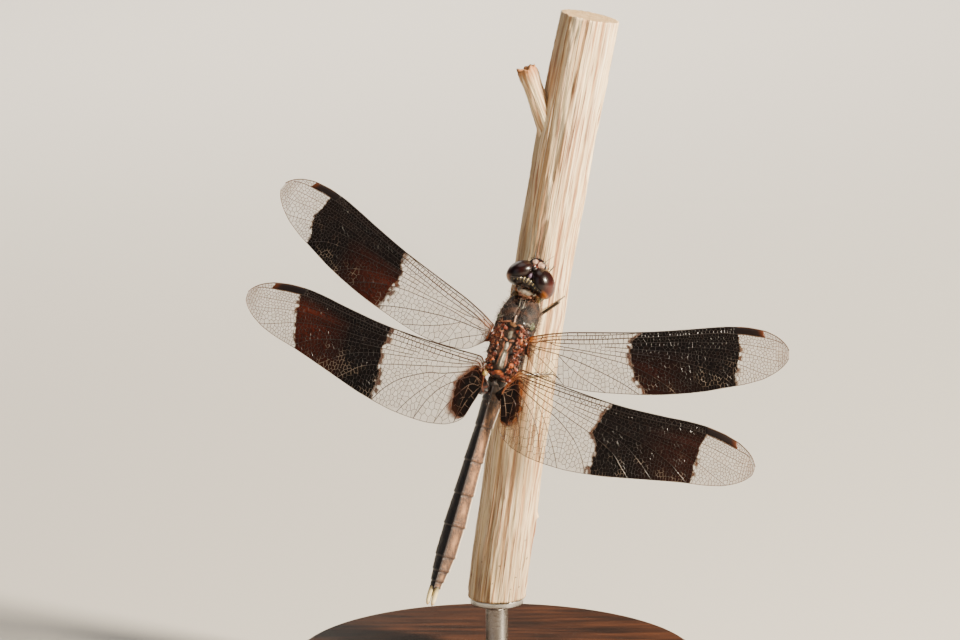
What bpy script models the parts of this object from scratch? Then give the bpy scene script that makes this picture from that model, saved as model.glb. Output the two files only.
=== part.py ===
"""A life-size dragonfly, a band-winged dragonlet, that grips a short cut length of stem.

The perch stands on a turned base with one short rod. Lengths are in millimetres
until a mesh is made, and the finished objects are in metres with +Z up. The origin
is the centre of the base's underside. The insect is modelled in its own frame
(X to its right, Y towards its face, Z out of its back) and turned into its pose.
"""

import bmesh
import bpy
import numpy as np
from math import acos, cos, pi, radians, sin, sqrt
from mathutils import Matrix, Vector
from mathutils.bvhtree import BVHTree

MM = 0.001
GAP = 0.07  # thin cut between neighbouring pieces of the body
PERCH_GAP = 0.12  # clearance of the feet from the perch

# Stand
BASE_RADIUS = 26.0
BASE_HEIGHT = 5.0
BASE_TOP_RADIUS = 22.8  # the flat top, inside the moulded edge
BASE_FOOT = 1.6  # height of the upright foot of the edge
BASE_CHAMFER = 0.5
ROD_RADIUS = 1.3
ROD_FLANGE = 3.6
FERRULE_RADIUS = 3.1
FERRULE_HEIGHT = 1.2
FLANGE_HEIGHT = 1.2
STAND_GAP = 0.1  # above and below the rod

# Perch
PERCH_BOTTOM = 12.0
PERCH_TOP = 80.5
PERCH_LEAN = 0.1154
PERCH_CURVE = 0.000581
PERCH_RADIUS_LOW = 3.55
PERCH_RADIUS_HIGH = 3.4
PERCH_SWELL = 0.012  # share of the radius that slow waves along the stem add
PERCH_OVERRUN = 1.5  # how far the stem runs on before the saw cut at its foot
STUB_START = (6.0, -0.4, 63.0)
STUB_MIDDLE = (4.75, -0.9, 69.2)
STUB_END = (3.25, -1.2, 74.8)
STUB_RADIUS = 1.5

# Pose of the insect
THORAX_PLACE = (1.2, -10.3, 44.4)
LEAN = 18.9  # of the long axis, from upright, towards +X
CLIMB = 78.6  # of the long axis, up from level
ROLL = -15.9  # about the long axis

# Head
HEAD_PLACE = (-0.05, 8.0, -1.6)
HEAD_NOD = -18.0
HEAD_YAW = -9.0
HEAD_ROLL = -1.0
EYE_SIZE = (1.36, 1.8, 2.0)
EYE_PLACE = (1.4, -0.05, 0.15)
EYE_SWING = 38.0  # the front end turns in to the midline
EYE_TILT = 14.0  # the top leans in
CAPSULE_SIZE = (2.35, 1.25, 1.75)
CAPSULE_PLACE = (0.0, -0.25, -0.15)
CAPSULE_SQUARE = 0.86  # below 1 the capsule is boxier than an ellipsoid
ANTENNA_PLACE = (0.42, 2.12, 0.95)
ANTENNA_LENGTH = 1.5
FEELER_RADIUS = 0.25

# Abdomen, from its joint to the tip
ABDOMEN_PLACE = (-0.22, -4.15, -1.0)
ABDOMEN_BEND = 2.2  # to the insect's right
SEGMENT_LENGTHS = (0.8, 1.9, 3.05, 4.1, 3.95, 3.75, 3.65, 1.7, 1.25, 0.8)
CERCUS_LENGTH = 1.9
CERCUS_RADIUS = 0.27
CERCUS_SPREAD = 0.3

# Wings
WING_THICKNESS = 0.5
FOREWING_LENGTH = 29.9
HINDWING_LENGTH = 28.9
FOREWING_HINGE = (2.38, 0.55, -0.1)
HINDWING_HINGE = (2.3, -2.85, -0.35)

# Legs: femur and tibia lengths
LEG_LENGTHS = {"front": (2.2, 2.2), "middle": (3.4, 3.4), "hind": (4.4, 4.1)}
COXA_PLACES = {"front": (0.6, 6.1), "middle": (0.95, 4.1), "hind": (0.6, 1.4)}
COXA_LENGTH = 0.9
LEG_RADII = (0.42, 0.38, 0.32, 0.27)  # hip, end of the hip, middle of the femur, knee
ANKLE_LIFT = 0.15  # the ankle stands off the perch a little more than the foot
# Where each foot holds the perch: angle round it from its front and height, for the ankle and the toe
FOOTHOLDS = {
    "leg_front_left": ((-16.0, 52.0), (-28.0, 52.9)),
    "leg_front_right": ((4.0, 51.2), (16.0, 51.9)),
    "leg_middle_left": ((-38.0, 47.6), (-62.0, 48.4)),
    "leg_middle_right": ((24.0, 47.6), (46.0, 48.4)),
    "leg_hind_left": ((-46.0, 39.0), (-68.0, 38.2)),
    "leg_hind_right": ((45.0, 39.2), (66.0, 38.4)),
}
# Which way each knee points, in the world
KNEES = {
    "leg_front_left": (-0.8, -0.2, 0.0),
    "leg_front_right": (0.8, -0.2, 0.0),
    "leg_middle_left": (-0.1, -0.8, 0.6),
    "leg_middle_right": (0.3, -1.0, 0.4),
    "leg_hind_left": (-0.2, -1.0, -0.3),
    "leg_hind_right": (-1.2, -0.5, 0.0),
}


def clear_scene():
    for obj in list(bpy.data.objects):
        bpy.data.objects.remove(obj, do_unlink=True)


def new_collection(name):
    collection = bpy.data.collections.new(name)
    bpy.context.scene.collection.children.link(collection)
    return collection


clear_scene()
parts = new_collection("dragonfly")
cutters = new_collection("cutters")


def material(name, color, roughness, metallic=0.0):
    made = bpy.data.materials.get(name)
    if made:
        return made
    made = bpy.data.materials.new(name)
    made.use_nodes = True
    shader = made.node_tree.nodes["Principled BSDF"]
    shader.inputs["Base Color"].default_value = (*color, 1.0)
    shader.inputs["Roughness"].default_value = roughness
    shader.inputs["Metallic"].default_value = metallic
    return made


def wood_of_perch():
    return material("perch_bark", (0.62, 0.47, 0.33), 0.8)


def wood_of_base():
    return material("base_wood", (0.12, 0.06, 0.03), 0.35)


def steel():
    return material("rod_steel", (0.55, 0.55, 0.56), 0.3, 1.0)


def dark_shell():
    return material("dark_shell", (0.05, 0.035, 0.03), 0.45)


def rust_shell():
    return material("rust_shell", (0.16, 0.06, 0.03), 0.5)


def abdomen_shell():
    return material("abdomen_shell", (0.12, 0.08, 0.07), 0.5)


def eye_shell():
    return material("eye_shell", (0.06, 0.012, 0.01), 0.12)


def pale_horn():
    return material("pale_horn", (0.6, 0.48, 0.3), 0.5)


def wing_membrane():
    return material("wing_membrane", (0.12, 0.08, 0.06), 0.3)


def leg_shell():
    return material("leg_shell", (0.07, 0.06, 0.055), 0.45)


def add_object(name, mesh, finish=None, collection=parts):
    obj = bpy.data.objects.new(name, mesh)
    collection.objects.link(obj)
    if finish:
        mesh.materials.append(finish)
    if collection == cutters:
        obj.hide_render = True
        obj.display_type = "WIRE"
    return obj


def mesh_from_bmesh(name, work, smooth_angle=50.0):
    bmesh.ops.recalc_face_normals(work, faces=work.faces[:])
    mesh = bpy.data.meshes.new(name)
    work.to_mesh(mesh)
    work.free()
    mesh.shade_smooth()
    mesh.set_sharp_from_angle(angle=radians(smooth_angle))
    return mesh


def loft(name, rings, smooth_angle=50.0):
    """A closed skin through rings of like point counts, with flat ends. Points are in mm."""
    work = bmesh.new()
    rows = [[work.verts.new(Vector(point) * MM) for point in ring] for ring in rings]
    count = len(rows[0])
    for row, following in zip(rows, rows[1:]):
        for i in range(count):
            j = (i + 1) % count
            work.faces.new((row[i], row[j], following[j], following[i]))
    work.faces.new(rows[0])
    work.faces.new(rows[-1])
    return mesh_from_bmesh(name, work, smooth_angle)


def turned(name, profile, finish, steps=48):
    """A profile of (radius, height) from the top of the axis down its outer side, screwed round Z."""
    mesh = bpy.data.meshes.new(name)
    points = [(radius * MM, 0.0, height * MM) for radius, height in profile]
    mesh.from_pydata(points, [(i, i + 1) for i in range(len(points) - 1)], [])
    obj = add_object(name, mesh, finish)
    screw = obj.modifiers.new("turn", "SCREW")
    screw.steps = steps
    screw.render_steps = steps
    screw.use_merge_vertices = True
    screw.merge_threshold = 0.00001
    screw.use_smooth_shade = True
    return obj


def tube_mesh(name, points, radii, resolution=2, collection=parts):
    """A round tube with filled caps, through points in mm, made a mesh in place of its curve."""
    curve = bpy.data.curves.new(name, "CURVE")
    curve.dimensions = "3D"
    curve.bevel_depth = MM
    curve.bevel_resolution = resolution
    curve.use_fill_caps = True
    spline = curve.splines.new("POLY")
    spline.points.add(len(points) - 1)
    for slot, point, radius in zip(spline.points, points, radii):
        slot.co = (*(Vector(point) * MM), 1.0)
        slot.radius = radius
    guide = bpy.data.objects.new(name + "_guide", curve)
    collection.objects.link(guide)
    bpy.context.view_layer.update()
    graph = bpy.context.evaluated_depsgraph_get()
    mesh = bpy.data.meshes.new_from_object(guide.evaluated_get(graph))
    mesh.transform(guide.matrix_world)
    bpy.data.objects.remove(guide, do_unlink=True)
    work = bmesh.new()
    work.from_mesh(mesh)
    bmesh.ops.remove_doubles(work, verts=work.verts[:], dist=0.00001)
    bmesh.ops.recalc_face_normals(work, faces=work.faces[:])
    work.to_mesh(mesh)
    work.free()
    mesh.shade_smooth()
    mesh.set_sharp_from_angle(angle=radians(50.0))
    return mesh


def boolean(obj, other, operation, solver="EXACT"):
    cut = obj.modifiers.new(operation.lower(), "BOOLEAN")
    cut.operation = operation
    cut.solver = solver
    cut.object = other


def smooth_curve(stations, at):
    """A smooth curve through (place, value) stations, with no overshoot between them."""
    places = np.array([station[0] for station in stations])
    values = np.array([station[1] for station in stations])
    slopes = np.diff(values) / np.diff(places)
    tangents = np.zeros(len(places))
    tangents[0] = slopes[0]
    tangents[-1] = slopes[-1]
    for i in range(1, len(slopes)):
        if slopes[i - 1] * slopes[i] > 0:
            tangents[i] = 2 * slopes[i - 1] * slopes[i] / (slopes[i - 1] + slopes[i])
    i = int(np.clip(np.searchsorted(places, at) - 1, 0, len(slopes) - 1))
    width = places[i + 1] - places[i]
    t = min(max((at - places[i]) / width, 0.0), 1.0)
    start = (1 + 2 * t) * (1 - t) ** 2 * values[i] + t * (1 - t) ** 2 * width * tangents[i]
    end = t * t * (3 - 2 * t) * values[i + 1] - t * t * (1 - t) * width * tangents[i + 1]
    return float(start + end)


def empty(name, matrix, parent=None):
    obj = bpy.data.objects.new(name, None)
    parts.objects.link(obj)
    obj.parent = parent
    obj.matrix_local = matrix
    return obj


def place(point):
    return Matrix.Translation(Vector(point) * MM)


def turn(angle, axis):
    return Matrix.Rotation(radians(angle), 4, axis)


# ---- the stand and the perch


def perch_middle(height):
    """Centre line of the stem, which leans to +X and bends that way a little."""
    rise = height - PERCH_BOTTOM
    return Vector((PERCH_LEAN * rise + PERCH_CURVE * rise * rise, 0.0, height))


def perch_radius(height):
    share = (height - PERCH_BOTTOM) / (PERCH_TOP - PERCH_BOTTOM)
    return PERCH_RADIUS_LOW + (PERCH_RADIUS_HIGH - PERCH_RADIUS_LOW) * share


def make_stand():
    edge_width = BASE_RADIUS - BASE_TOP_RADIUS
    edge_height = BASE_HEIGHT - BASE_FOOT
    base_profile = [
        (0.0, BASE_HEIGHT),
        (BASE_TOP_RADIUS, BASE_HEIGHT),
        (BASE_TOP_RADIUS + 0.2 * edge_width, BASE_HEIGHT - 0.06 * edge_height),
        (BASE_TOP_RADIUS + 0.32 * edge_width, BASE_HEIGHT - 0.26 * edge_height),
        (BASE_TOP_RADIUS + 0.62 * edge_width, BASE_HEIGHT - 0.32 * edge_height),
        (BASE_TOP_RADIUS + 0.9 * edge_width, BASE_FOOT + 0.36 * edge_height),
        (BASE_RADIUS, BASE_FOOT),
        (BASE_RADIUS, BASE_CHAMFER),
        (BASE_RADIUS - BASE_CHAMFER, 0.0),
        (0.0, 0.0),
    ]
    turned("stand_base", base_profile, wood_of_base(), steps=56)
    low = BASE_HEIGHT + STAND_GAP
    high = PERCH_BOTTOM - STAND_GAP
    rod_profile = [
        (0.0, high),
        (FERRULE_RADIUS, high),
        (FERRULE_RADIUS, high - FERRULE_HEIGHT * 0.6),
        (ROD_RADIUS, high - FERRULE_HEIGHT),
        (ROD_RADIUS, low + FLANGE_HEIGHT),
        (ROD_FLANGE, low + FLANGE_HEIGHT * 0.4),
        (ROD_FLANGE, low),
        (0.0, low),
    ]
    turned("stand_rod", rod_profile, steel(), steps=24)


def make_perch():
    count = 15
    foot = PERCH_BOTTOM - PERCH_OVERRUN
    heights = [foot + (PERCH_TOP - foot) * i / (count - 1) for i in range(count)]
    middles = [perch_middle(height) for height in heights]
    radii = [perch_radius(height) * (1 + PERCH_SWELL * sin(height * 0.55)) for height in heights]
    stem = add_object("stand_perch", tube_mesh("stand_perch", middles, radii, 4), wood_of_perch())
    stub_points = [Vector(STUB_START), Vector(STUB_MIDDLE), Vector(STUB_END)]
    stub_radii = [STUB_RADIUS * share for share in (1.25, 1.0, 0.92)]
    stub = tube_mesh("broken_stub", stub_points, stub_radii, 2, cutters)
    boolean(stem, add_object("broken_stub", stub, None, cutters), "UNION")
    work = bmesh.new()
    block = 20.0
    bmesh.ops.create_cube(work, size=block * MM)
    bmesh.ops.translate(work, verts=work.verts[:], vec=(0.0, 0.0, (PERCH_BOTTOM - block / 2) * MM))
    saw = add_object("saw_cut", mesh_from_bmesh("saw_cut", work), None, cutters)
    boolean(stem, saw, "DIFFERENCE")
    return stem


make_stand()
make_perch()


# ---- the insect's frames

body_frame = place(THORAX_PLACE) @ turn(LEAN, "Y") @ turn(CLIMB, "X") @ turn(ROLL, "Y")
body = empty("body_pose", body_frame)
head_local = place(HEAD_PLACE) @ turn(HEAD_YAW, "Z") @ turn(HEAD_NOD, "X") @ turn(HEAD_ROLL, "Y")
head = empty("head_pose", head_local, body)
abdomen_local = place(ABDOMEN_PLACE) @ turn(ABDOMEN_BEND, "Z")
abdomen = empty("abdomen_pose", abdomen_local, body)


def on(parent, name, mesh, finish):
    obj = add_object(name, mesh, finish)
    obj.parent = parent
    return obj


# ---- the thorax

THORAX_STATIONS = (
    # place along the body, half width, top, bottom
    (-4.05, 1.15, 0.0, -2.3),
    (-3.4, 1.7, 0.4, -2.9),
    (-2.0, 2.1, 0.65, -4.0),
    (0.0, 2.3, 0.75, -5.0),
    (2.0, 2.45, 0.85, -5.4),
    (3.7, 2.35, 0.3, -5.2),
    (5.0, 1.95, -0.6, -4.4),
    (5.6, 1.45, -1.1, -3.6),
)
THORAX_SHOULDER = 0.3  # share of the height at which it is widest, from the top
THORAX_KEEL = 0.42  # share of the width that it loses towards the legs


def thorax_ring(y, grow=0.0, sides=22):
    values = [smooth_curve([(row[0], row[k]) for row in THORAX_STATIONS], y) for k in (1, 2, 3)]
    width, top, bottom = values[0] + grow, values[1] + grow, values[2] - grow
    middle = top - THORAX_SHOULDER * (top - bottom)
    ring = []
    for i in range(sides):
        angle = 2 * pi * i / sides
        up = cos(angle)
        out = sin(angle)
        z = middle + (top - middle) * up if up > 0 else middle + (middle - bottom) * up
        x = width * out * (1 - THORAX_KEEL * max(-up, 0.0))
        ring.append((x, y, z))
    return ring


def make_thorax():
    """The thorax, and the slightly larger space that is kept clear of the legs."""
    ys = [-4.05, -3.75, -3.2, -2.4, -1.4, -0.3, 0.8, 1.9, 2.9, 3.8, 4.6, 5.2, 5.6]
    thorax = on(body, "thorax", loft("thorax", [thorax_ring(y) for y in ys]), rust_shell())
    grown = loft("thorax_space", [thorax_ring(y, GAP) for y in ys])
    space = add_object("thorax_space", grown, None, cutters)
    space.parent = body
    return thorax, space


PROTHORAX_STATIONS = (
    # place, half width, top, bottom
    (5.67, 0.95, -1.25, -3.5),
    (5.9, 1.25, -0.95, -3.8),
    (6.35, 1.35, -0.65, -3.75),
    (6.7, 1.1, -0.75, -3.3),
    (6.95, 0.7, -1.1, -2.6),
    (7.25, 0.5, -1.25, -2.3),
)


def prothorax_ring(y, width, top, bottom, grow=0.0, sides=16):
    middle = (top + bottom) / 2
    half = (top - bottom) / 2 + grow
    angles = [2 * pi * i / sides for i in range(sides)]
    return [((width + grow) * sin(a), y, middle + half * cos(a)) for a in angles]


def make_prothorax():
    rings = [prothorax_ring(*station) for station in PROTHORAX_STATIONS]
    prothorax = on(body, "prothorax", loft("prothorax", rings), dark_shell())
    grown = [prothorax_ring(*station, GAP) for station in PROTHORAX_STATIONS]
    space = add_object("prothorax_space", loft("prothorax_space", grown), None, cutters)
    space.parent = body
    return prothorax, space


thorax, thorax_space = make_thorax()
prothorax, prothorax_space = make_prothorax()


# ---- the head


def ellipsoid(name, center, size, attitude=Matrix(), segments=22, rings=14, grow=0.0, square=1.0):
    work = bmesh.new()
    bmesh.ops.create_uvsphere(work, u_segments=segments, v_segments=rings, radius=1.0)
    if square != 1.0:
        for vert in work.verts:
            vert.co = Vector([abs(c) ** square * (1 if c > 0 else -1) for c in vert.co])
    axes = Matrix.Diagonal(Vector([side + grow for side in size])).to_4x4()
    bmesh.ops.transform(work, verts=work.verts[:], matrix=attitude @ axes)
    for vert in work.verts:
        vert.co = (vert.co + Vector(center)) * MM
    return mesh_from_bmesh(name, work)


def eye_mesh(name, side, grow=0.0):
    """One eye, cut flat on the head's midline where the two eyes meet."""
    center = (side * EYE_PLACE[0], EYE_PLACE[1], EYE_PLACE[2])
    attitude = turn(-side * EYE_TILT, "Y") @ turn(side * EYE_SWING, "Z")
    mesh = ellipsoid(name, center, EYE_SIZE, attitude, grow=grow)
    if grow:
        return mesh
    work = bmesh.new()
    work.from_mesh(mesh)
    cut = bmesh.ops.bisect_plane(
        work,
        geom=work.verts[:] + work.edges[:] + work.faces[:],
        dist=1e-9,
        plane_co=(side * GAP * 0.5 * MM, 0, 0),
        plane_no=(-side, 0, 0),
        clear_outer=True,
    )
    rim = [item for item in cut["geom_cut"] if isinstance(item, bmesh.types.BMEdge)]
    bmesh.ops.edgeloop_fill(work, edges=rim)
    return mesh_from_bmesh(name, work)


FACE_STATIONS = (
    # height, half width, front, back
    (1.35, 0.42, 1.45, 0.7),
    (1.1, 0.8, 1.85, 0.6),
    (0.6, 1.02, 2.1, 0.5),
    (0.1, 1.08, 2.12, 0.4),
    (-0.25, 1.0, 1.85, 0.3),
    (-0.7, 1.2, 1.88, 0.2),
    (-1.1, 1.15, 1.6, 0.1),
    (-1.5, 1.0, 1.35, -0.3),
    (-1.85, 0.75, 0.95, -0.7),
)


def face_ring(height, width, front, back, sides=16):
    middle = (front + back) / 2
    half = (front - back) / 2
    ring = []
    for i in range(sides):
        angle = 2 * pi * i / sides
        bulge = abs(sin(angle)) ** 0.8 * (1 if sin(angle) > 0 else -1)
        ring.append((width * bulge, middle + half * cos(angle), height))
    return ring


def make_head():
    capsule = ellipsoid("head", CAPSULE_PLACE, CAPSULE_SIZE, square=CAPSULE_SQUARE)
    capsule = on(head, "head", capsule, dark_shell())
    face = on(head, "face", loft("face", [face_ring(*station) for station in FACE_STATIONS]), dark_shell())
    skull = ellipsoid("skull_space", CAPSULE_PLACE, CAPSULE_SIZE, grow=GAP, square=CAPSULE_SQUARE)
    skull_space = add_object("skull_space", skull, None, cutters)
    skull_space.parent = head
    boolean(face, skull_space, "DIFFERENCE", "MANIFOLD")
    boolean(prothorax, skull_space, "DIFFERENCE", "MANIFOLD")
    for side, word in ((-1, "left"), (1, "right")):
        on(head, "eye_" + word, eye_mesh("eye_" + word, side), eye_shell())
        space = add_object("eye_space_" + word, eye_mesh("eye_space_" + word, side, GAP), None, cutters)
        space.parent = head
        for neighbour in (capsule, face, prothorax):
            boolean(neighbour, space, "DIFFERENCE", "MANIFOLD")
    for side, word in ((-1, "left"), (1, "right")):
        make_antenna("antenna_" + word, side)


def make_antenna(name, side):
    """A short feeler that leaves the brow forwards and outwards and droops a little."""
    start = Vector((side * ANTENNA_PLACE[0], ANTENNA_PLACE[1], ANTENNA_PLACE[2]))
    reach = [ANTENNA_LENGTH * share for share in (0.0, 0.3, 0.65, 1.0)]
    points = [start + Vector((side * 0.5 * t, 0.7 * t, 0.5 * t - 0.15 * t * t)) for t in reach]
    radii = [FEELER_RADIUS * share for share in (1.15, 1.0, 1.0, 0.98)]
    on(head, name, tube_mesh(name, points, radii, 1), dark_shell())


make_head()


# ---- the abdomen

ABDOMEN_WIDTHS = (
    # place along the abdomen, half width at the side ridges
    (0.0, 1.1), (1.3, 1.27), (2.7, 1.22), (4.2, 1.05), (6.3, 1.02), (9.0, 1.12), (13.0, 1.17),
    (17.0, 1.3), (20.0, 1.27), (22.0, 1.1), (23.6, 0.84), (24.95, 0.58),
)
ABDOMEN_RIDGE = ((0.0, 0.0), (2.0, 0.13), (4.5, 0.63), (20.0, 0.72), (24.95, 0.45))  # how sharp the back is
ABDOMEN_HEIGHTS = (
    (0.0, 2.5), (1.3, 2.9), (2.7, 2.75), (4.2, 2.25), (6.3, 1.95), (13.0, 1.95), (20.0, 1.9),
    (22.3, 1.6), (24.95, 1.0),
)


def abdomen_ring(along, flare, sides=14):
    """A triangle with round corners: a ridge on the back, two side ridges and a shallow belly."""
    width = smooth_curve(ABDOMEN_WIDTHS, along) * flare
    height = smooth_curve(ABDOMEN_HEIGHTS, along) * flare
    ridge = smooth_curve(ABDOMEN_RIDGE, along)
    ring = []
    for i in range(sides):
        angle = 2 * pi * i / sides
        up = cos(angle)
        out = sin(angle)
        side = abs(out) ** (1 + 0.45 * ridge * max(up, 0.0)) * (1 if out > 0 else -1)
        z = 0.62 * height * up if up > 0 else 0.38 * height * up
        ring.append((width * side * (1 - 0.22 * ridge * max(up, 0.0)), -along, z - 0.62 * height + 0.55))
    return ring


def make_abdomen():
    start = 0.0
    for number, length in enumerate(SEGMENT_LENGTHS, 1):
        end = start + length
        stops = [start + GAP / 2, start + 0.3 * length, start + 0.72 * length, end - GAP / 2]
        flares = [0.965, 1.0, 1.005, 1.035]
        rings = [abdomen_ring(stop, flare) for stop, flare in zip(stops, flares)]
        name = "abdomen_%02d" % number
        on(abdomen, name, loft(name, rings, 40.0), abdomen_shell())
        start = end
    for side, word in ((-1, "left"), (1, "right")):
        make_cercus("cercus_" + word, side, -start - GAP)


def make_cercus(name, side, start):
    """One of the two claspers at the tip, which bows outwards a little."""
    points = []
    radii = []
    for share in (0.0, 0.3, 0.7, 1.0):
        out = CERCUS_SPREAD + 0.14 * sin(share * pi * 0.6)
        points.append((side * out, start - share * CERCUS_LENGTH, 0.2 - 0.1 * share))
        radii.append(CERCUS_RADIUS * (1 - 0.12 * share))
    on(abdomen, name, tube_mesh(name, points, radii, 1), pale_horn())


make_abdomen()


# ---- the wings: outlines are (share of the length, distance ahead of the hinge line)

FOREWING_FRONT = (
    (0.0, 0.95), (0.14, 1.62), (0.3, 1.8), (0.436, 1.97), (0.62, 2.5), (0.79, 3.02), (1.0, 2.9),
)
FOREWING_BACK = (
    (0.0, -1.1), (0.03, -2.6), (0.07, -3.5), (0.14, -4.3), (0.28, -4.9), (0.45, -4.95),
    (0.64, -4.5), (0.82, -3.4), (1.0, -2.4),
)
HINDWING_FRONT = ((0.0, 0.55), (0.145, 0.5), (0.387, 0.75), (0.6, 1.6), (0.77, 2.35), (1.0, 2.15))
HINDWING_BACK = (
    (0.0, -6.5), (0.045, -7.6), (0.126, -8.4), (0.24, -8.35), (0.4, -7.6), (0.606, -5.8),
    (0.8, -4.1), (1.0, -2.9),
)
FOREWING_TIP = 0.15  # how far the tip is ahead of the hinge line
HINDWING_TIP = -0.25
HINDWING_BULGE = 0.95  # of the inner edge, towards the body
TIP_START = 0.84  # share of the length where the edges start to close
TIP_ANGLES = (25, 45, 60, 72, 83)
CAMBER = 0.10  # arch of the wing across its width
TIP_BOW = 0.5  # how far the tip curves down
WING_POSE = {
    # sweep forward, droop
    "forewing_left": (16.0, 1.0),
    "forewing_right": (15.8, -2.4),
    "hindwing_left": (-2.3, 1.6),
    "hindwing_right": (-3.3, 1.8),
}


def wing_stations():
    inner = [i / 11 * TIP_START for i in range(12)]
    inner.insert(1, 0.035)
    tip = [TIP_START + (1 - TIP_START) * sin(radians(angle)) for angle in TIP_ANGLES]
    return inner + tip


def wing_edge(stations, tip_height, share):
    """One edge of the wing, closed round to the tip by a quarter of an ellipse."""
    value = smooth_curve(stations, share)
    if share <= TIP_START:
        return value
    along = (share - TIP_START) / (1 - TIP_START)
    return tip_height + (value - tip_height) * sqrt(max(0.0, 1 - along * along))


def make_wing(name, hinge, length, front, back, tip_height, inner_bulge=0.0, rows=7):
    side = -1 if name.endswith("left") else 1
    sweep, droop = WING_POSE[name]
    work = bmesh.new()
    grid = []
    for share in wing_stations():
        lead = wing_edge(front, tip_height, share)
        trail = wing_edge(back, tip_height, share)
        line = []
        for i in range(rows):
            t = i / (rows - 1)
            chordwise = lead + (trail - lead) * t
            inset = inner_bulge * sin(pi * min(1.0, t * 1.15)) * max(0.0, 1 - share / 0.12)
            camber = CAMBER * (lead - trail) ** 0.7 * (1 - (2 * t - 1) ** 2)
            bow = -TIP_BOW * share * share
            line.append(Vector((side * (share * length - inset), chordwise, camber + bow)))
        grid.append(line)
    pose = turn(side * sweep, "Z") @ turn(side * droop, "Y")
    shift = Vector((side * hinge[0], hinge[1], hinge[2]))
    verts = [[work.verts.new((pose @ point + shift) * MM) for point in line] for line in grid]
    for line, following in zip(verts, verts[1:]):
        for i in range(rows - 1):
            corners = (line[i], following[i], following[i + 1], line[i + 1])
            work.faces.new(corners if side < 0 else corners[::-1])
    mesh = bpy.data.meshes.new(name)
    work.to_mesh(mesh)
    work.free()
    mesh.shade_smooth()
    wing = on(body, name, mesh, wing_membrane())
    thick = wing.modifiers.new("thickness", "SOLIDIFY")
    thick.thickness = WING_THICKNESS * MM
    thick.offset = 0.0
    thick.use_rim = True
    return wing


def make_wings():
    for word in ("left", "right"):
        make_wing(
            "forewing_" + word, FOREWING_HINGE, FOREWING_LENGTH, FOREWING_FRONT, FOREWING_BACK, FOREWING_TIP
        )
        make_wing(
            "hindwing_" + word, HINDWING_HINGE, HINDWING_LENGTH, HINDWING_FRONT, HINDWING_BACK,
            HINDWING_TIP, HINDWING_BULGE,
        )


make_wings()


# ---- the legs


def surface_of(obj):
    """The object's own surface in the world, for finding where a leg leaves it."""
    work = bmesh.new()
    work.from_mesh(obj.data)
    work.transform(obj.matrix_world)
    tree = BVHTree.FromBMesh(work)
    work.free()
    return tree


def knee_between(hip, ankle, first, second, outward):
    """The bend of two links from hip to ankle, on the outward side."""
    reach = ankle - hip
    distance = min(reach.length, (first + second) * 0.995)
    cosine = (first ** 2 + distance ** 2 - second ** 2) / (2 * first * distance)
    turn_in = acos(max(-1.0, min(1.0, cosine)))
    along = reach.normalized()
    away = (outward - along * outward.dot(along)).normalized()
    return hip + along * (first * cos(turn_in)) + away * (first * sin(turn_in))


def on_perch(angle, height, clearance):
    """A point at this angle round the stem and this height, off its surface by the clearance."""
    reach = perch_radius(height) * (1 + PERCH_SWELL) + clearance
    spot = Vector((sin(radians(angle)) * reach, -cos(radians(angle)) * reach, 0.0))
    return perch_middle(height) + spot


def make_leg(name, surface):
    pair = name.split("_")[1]
    side = -1 if name.endswith("left") else 1
    femur, tibia = LEG_LENGTHS[pair]
    x, y = COXA_PLACES[pair]
    frame = body.matrix_world
    below = -12.0
    origin = frame @ (Vector((side * x, y, below)) * MM)
    upward = frame.to_3x3() @ Vector((0.0, 0.0, 1.0))
    spot, normal, _, _ = surface.ray_cast(origin, upward)
    spot = spot / MM
    hip_start = spot + normal * GAP
    hip = spot + normal * COXA_LENGTH
    (ankle_angle, ankle_height), (toe_angle, toe_height) = FOOTHOLDS[name]
    ankle = on_perch(ankle_angle, ankle_height, FEELER_RADIUS + PERCH_GAP + ANKLE_LIFT)
    foot = []
    for share in (0.35, 0.7, 1.0):
        angle = ankle_angle + (toe_angle - ankle_angle) * share
        height = ankle_height + (toe_height - ankle_height) * share
        foot.append(on_perch(angle, height, FEELER_RADIUS + PERCH_GAP))
    knee = knee_between(hip, ankle, femur, tibia, Vector(KNEES[name]))
    points = [hip_start, hip, hip.lerp(knee, 0.5), knee, knee.lerp(ankle, 0.5), ankle, *foot]
    radii = [*LEG_RADII, *[FEELER_RADIUS] * (len(points) - len(LEG_RADII))]
    mesh = tube_mesh(name, points, radii, 1)
    leg = add_object(name, mesh, leg_shell())
    for space in (thorax_space, prothorax_space):
        boolean(leg, space, "DIFFERENCE", "MANIFOLD")


def make_legs():
    bpy.context.view_layer.update()
    shells = {"front": surface_of(prothorax), "middle": surface_of(thorax), "hind": surface_of(thorax)}
    for name in FOOTHOLDS:
        make_leg(name, shells[name.split("_")[1]])


make_legs()
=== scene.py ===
import random
from itertools import combinations
from math import atan2, cos, exp, pi, radians, sin, sqrt

import bmesh
import bpy
import numpy as np
from mathutils import Matrix, Vector, noise
from mathutils.bvhtree import BVHTree


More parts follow.
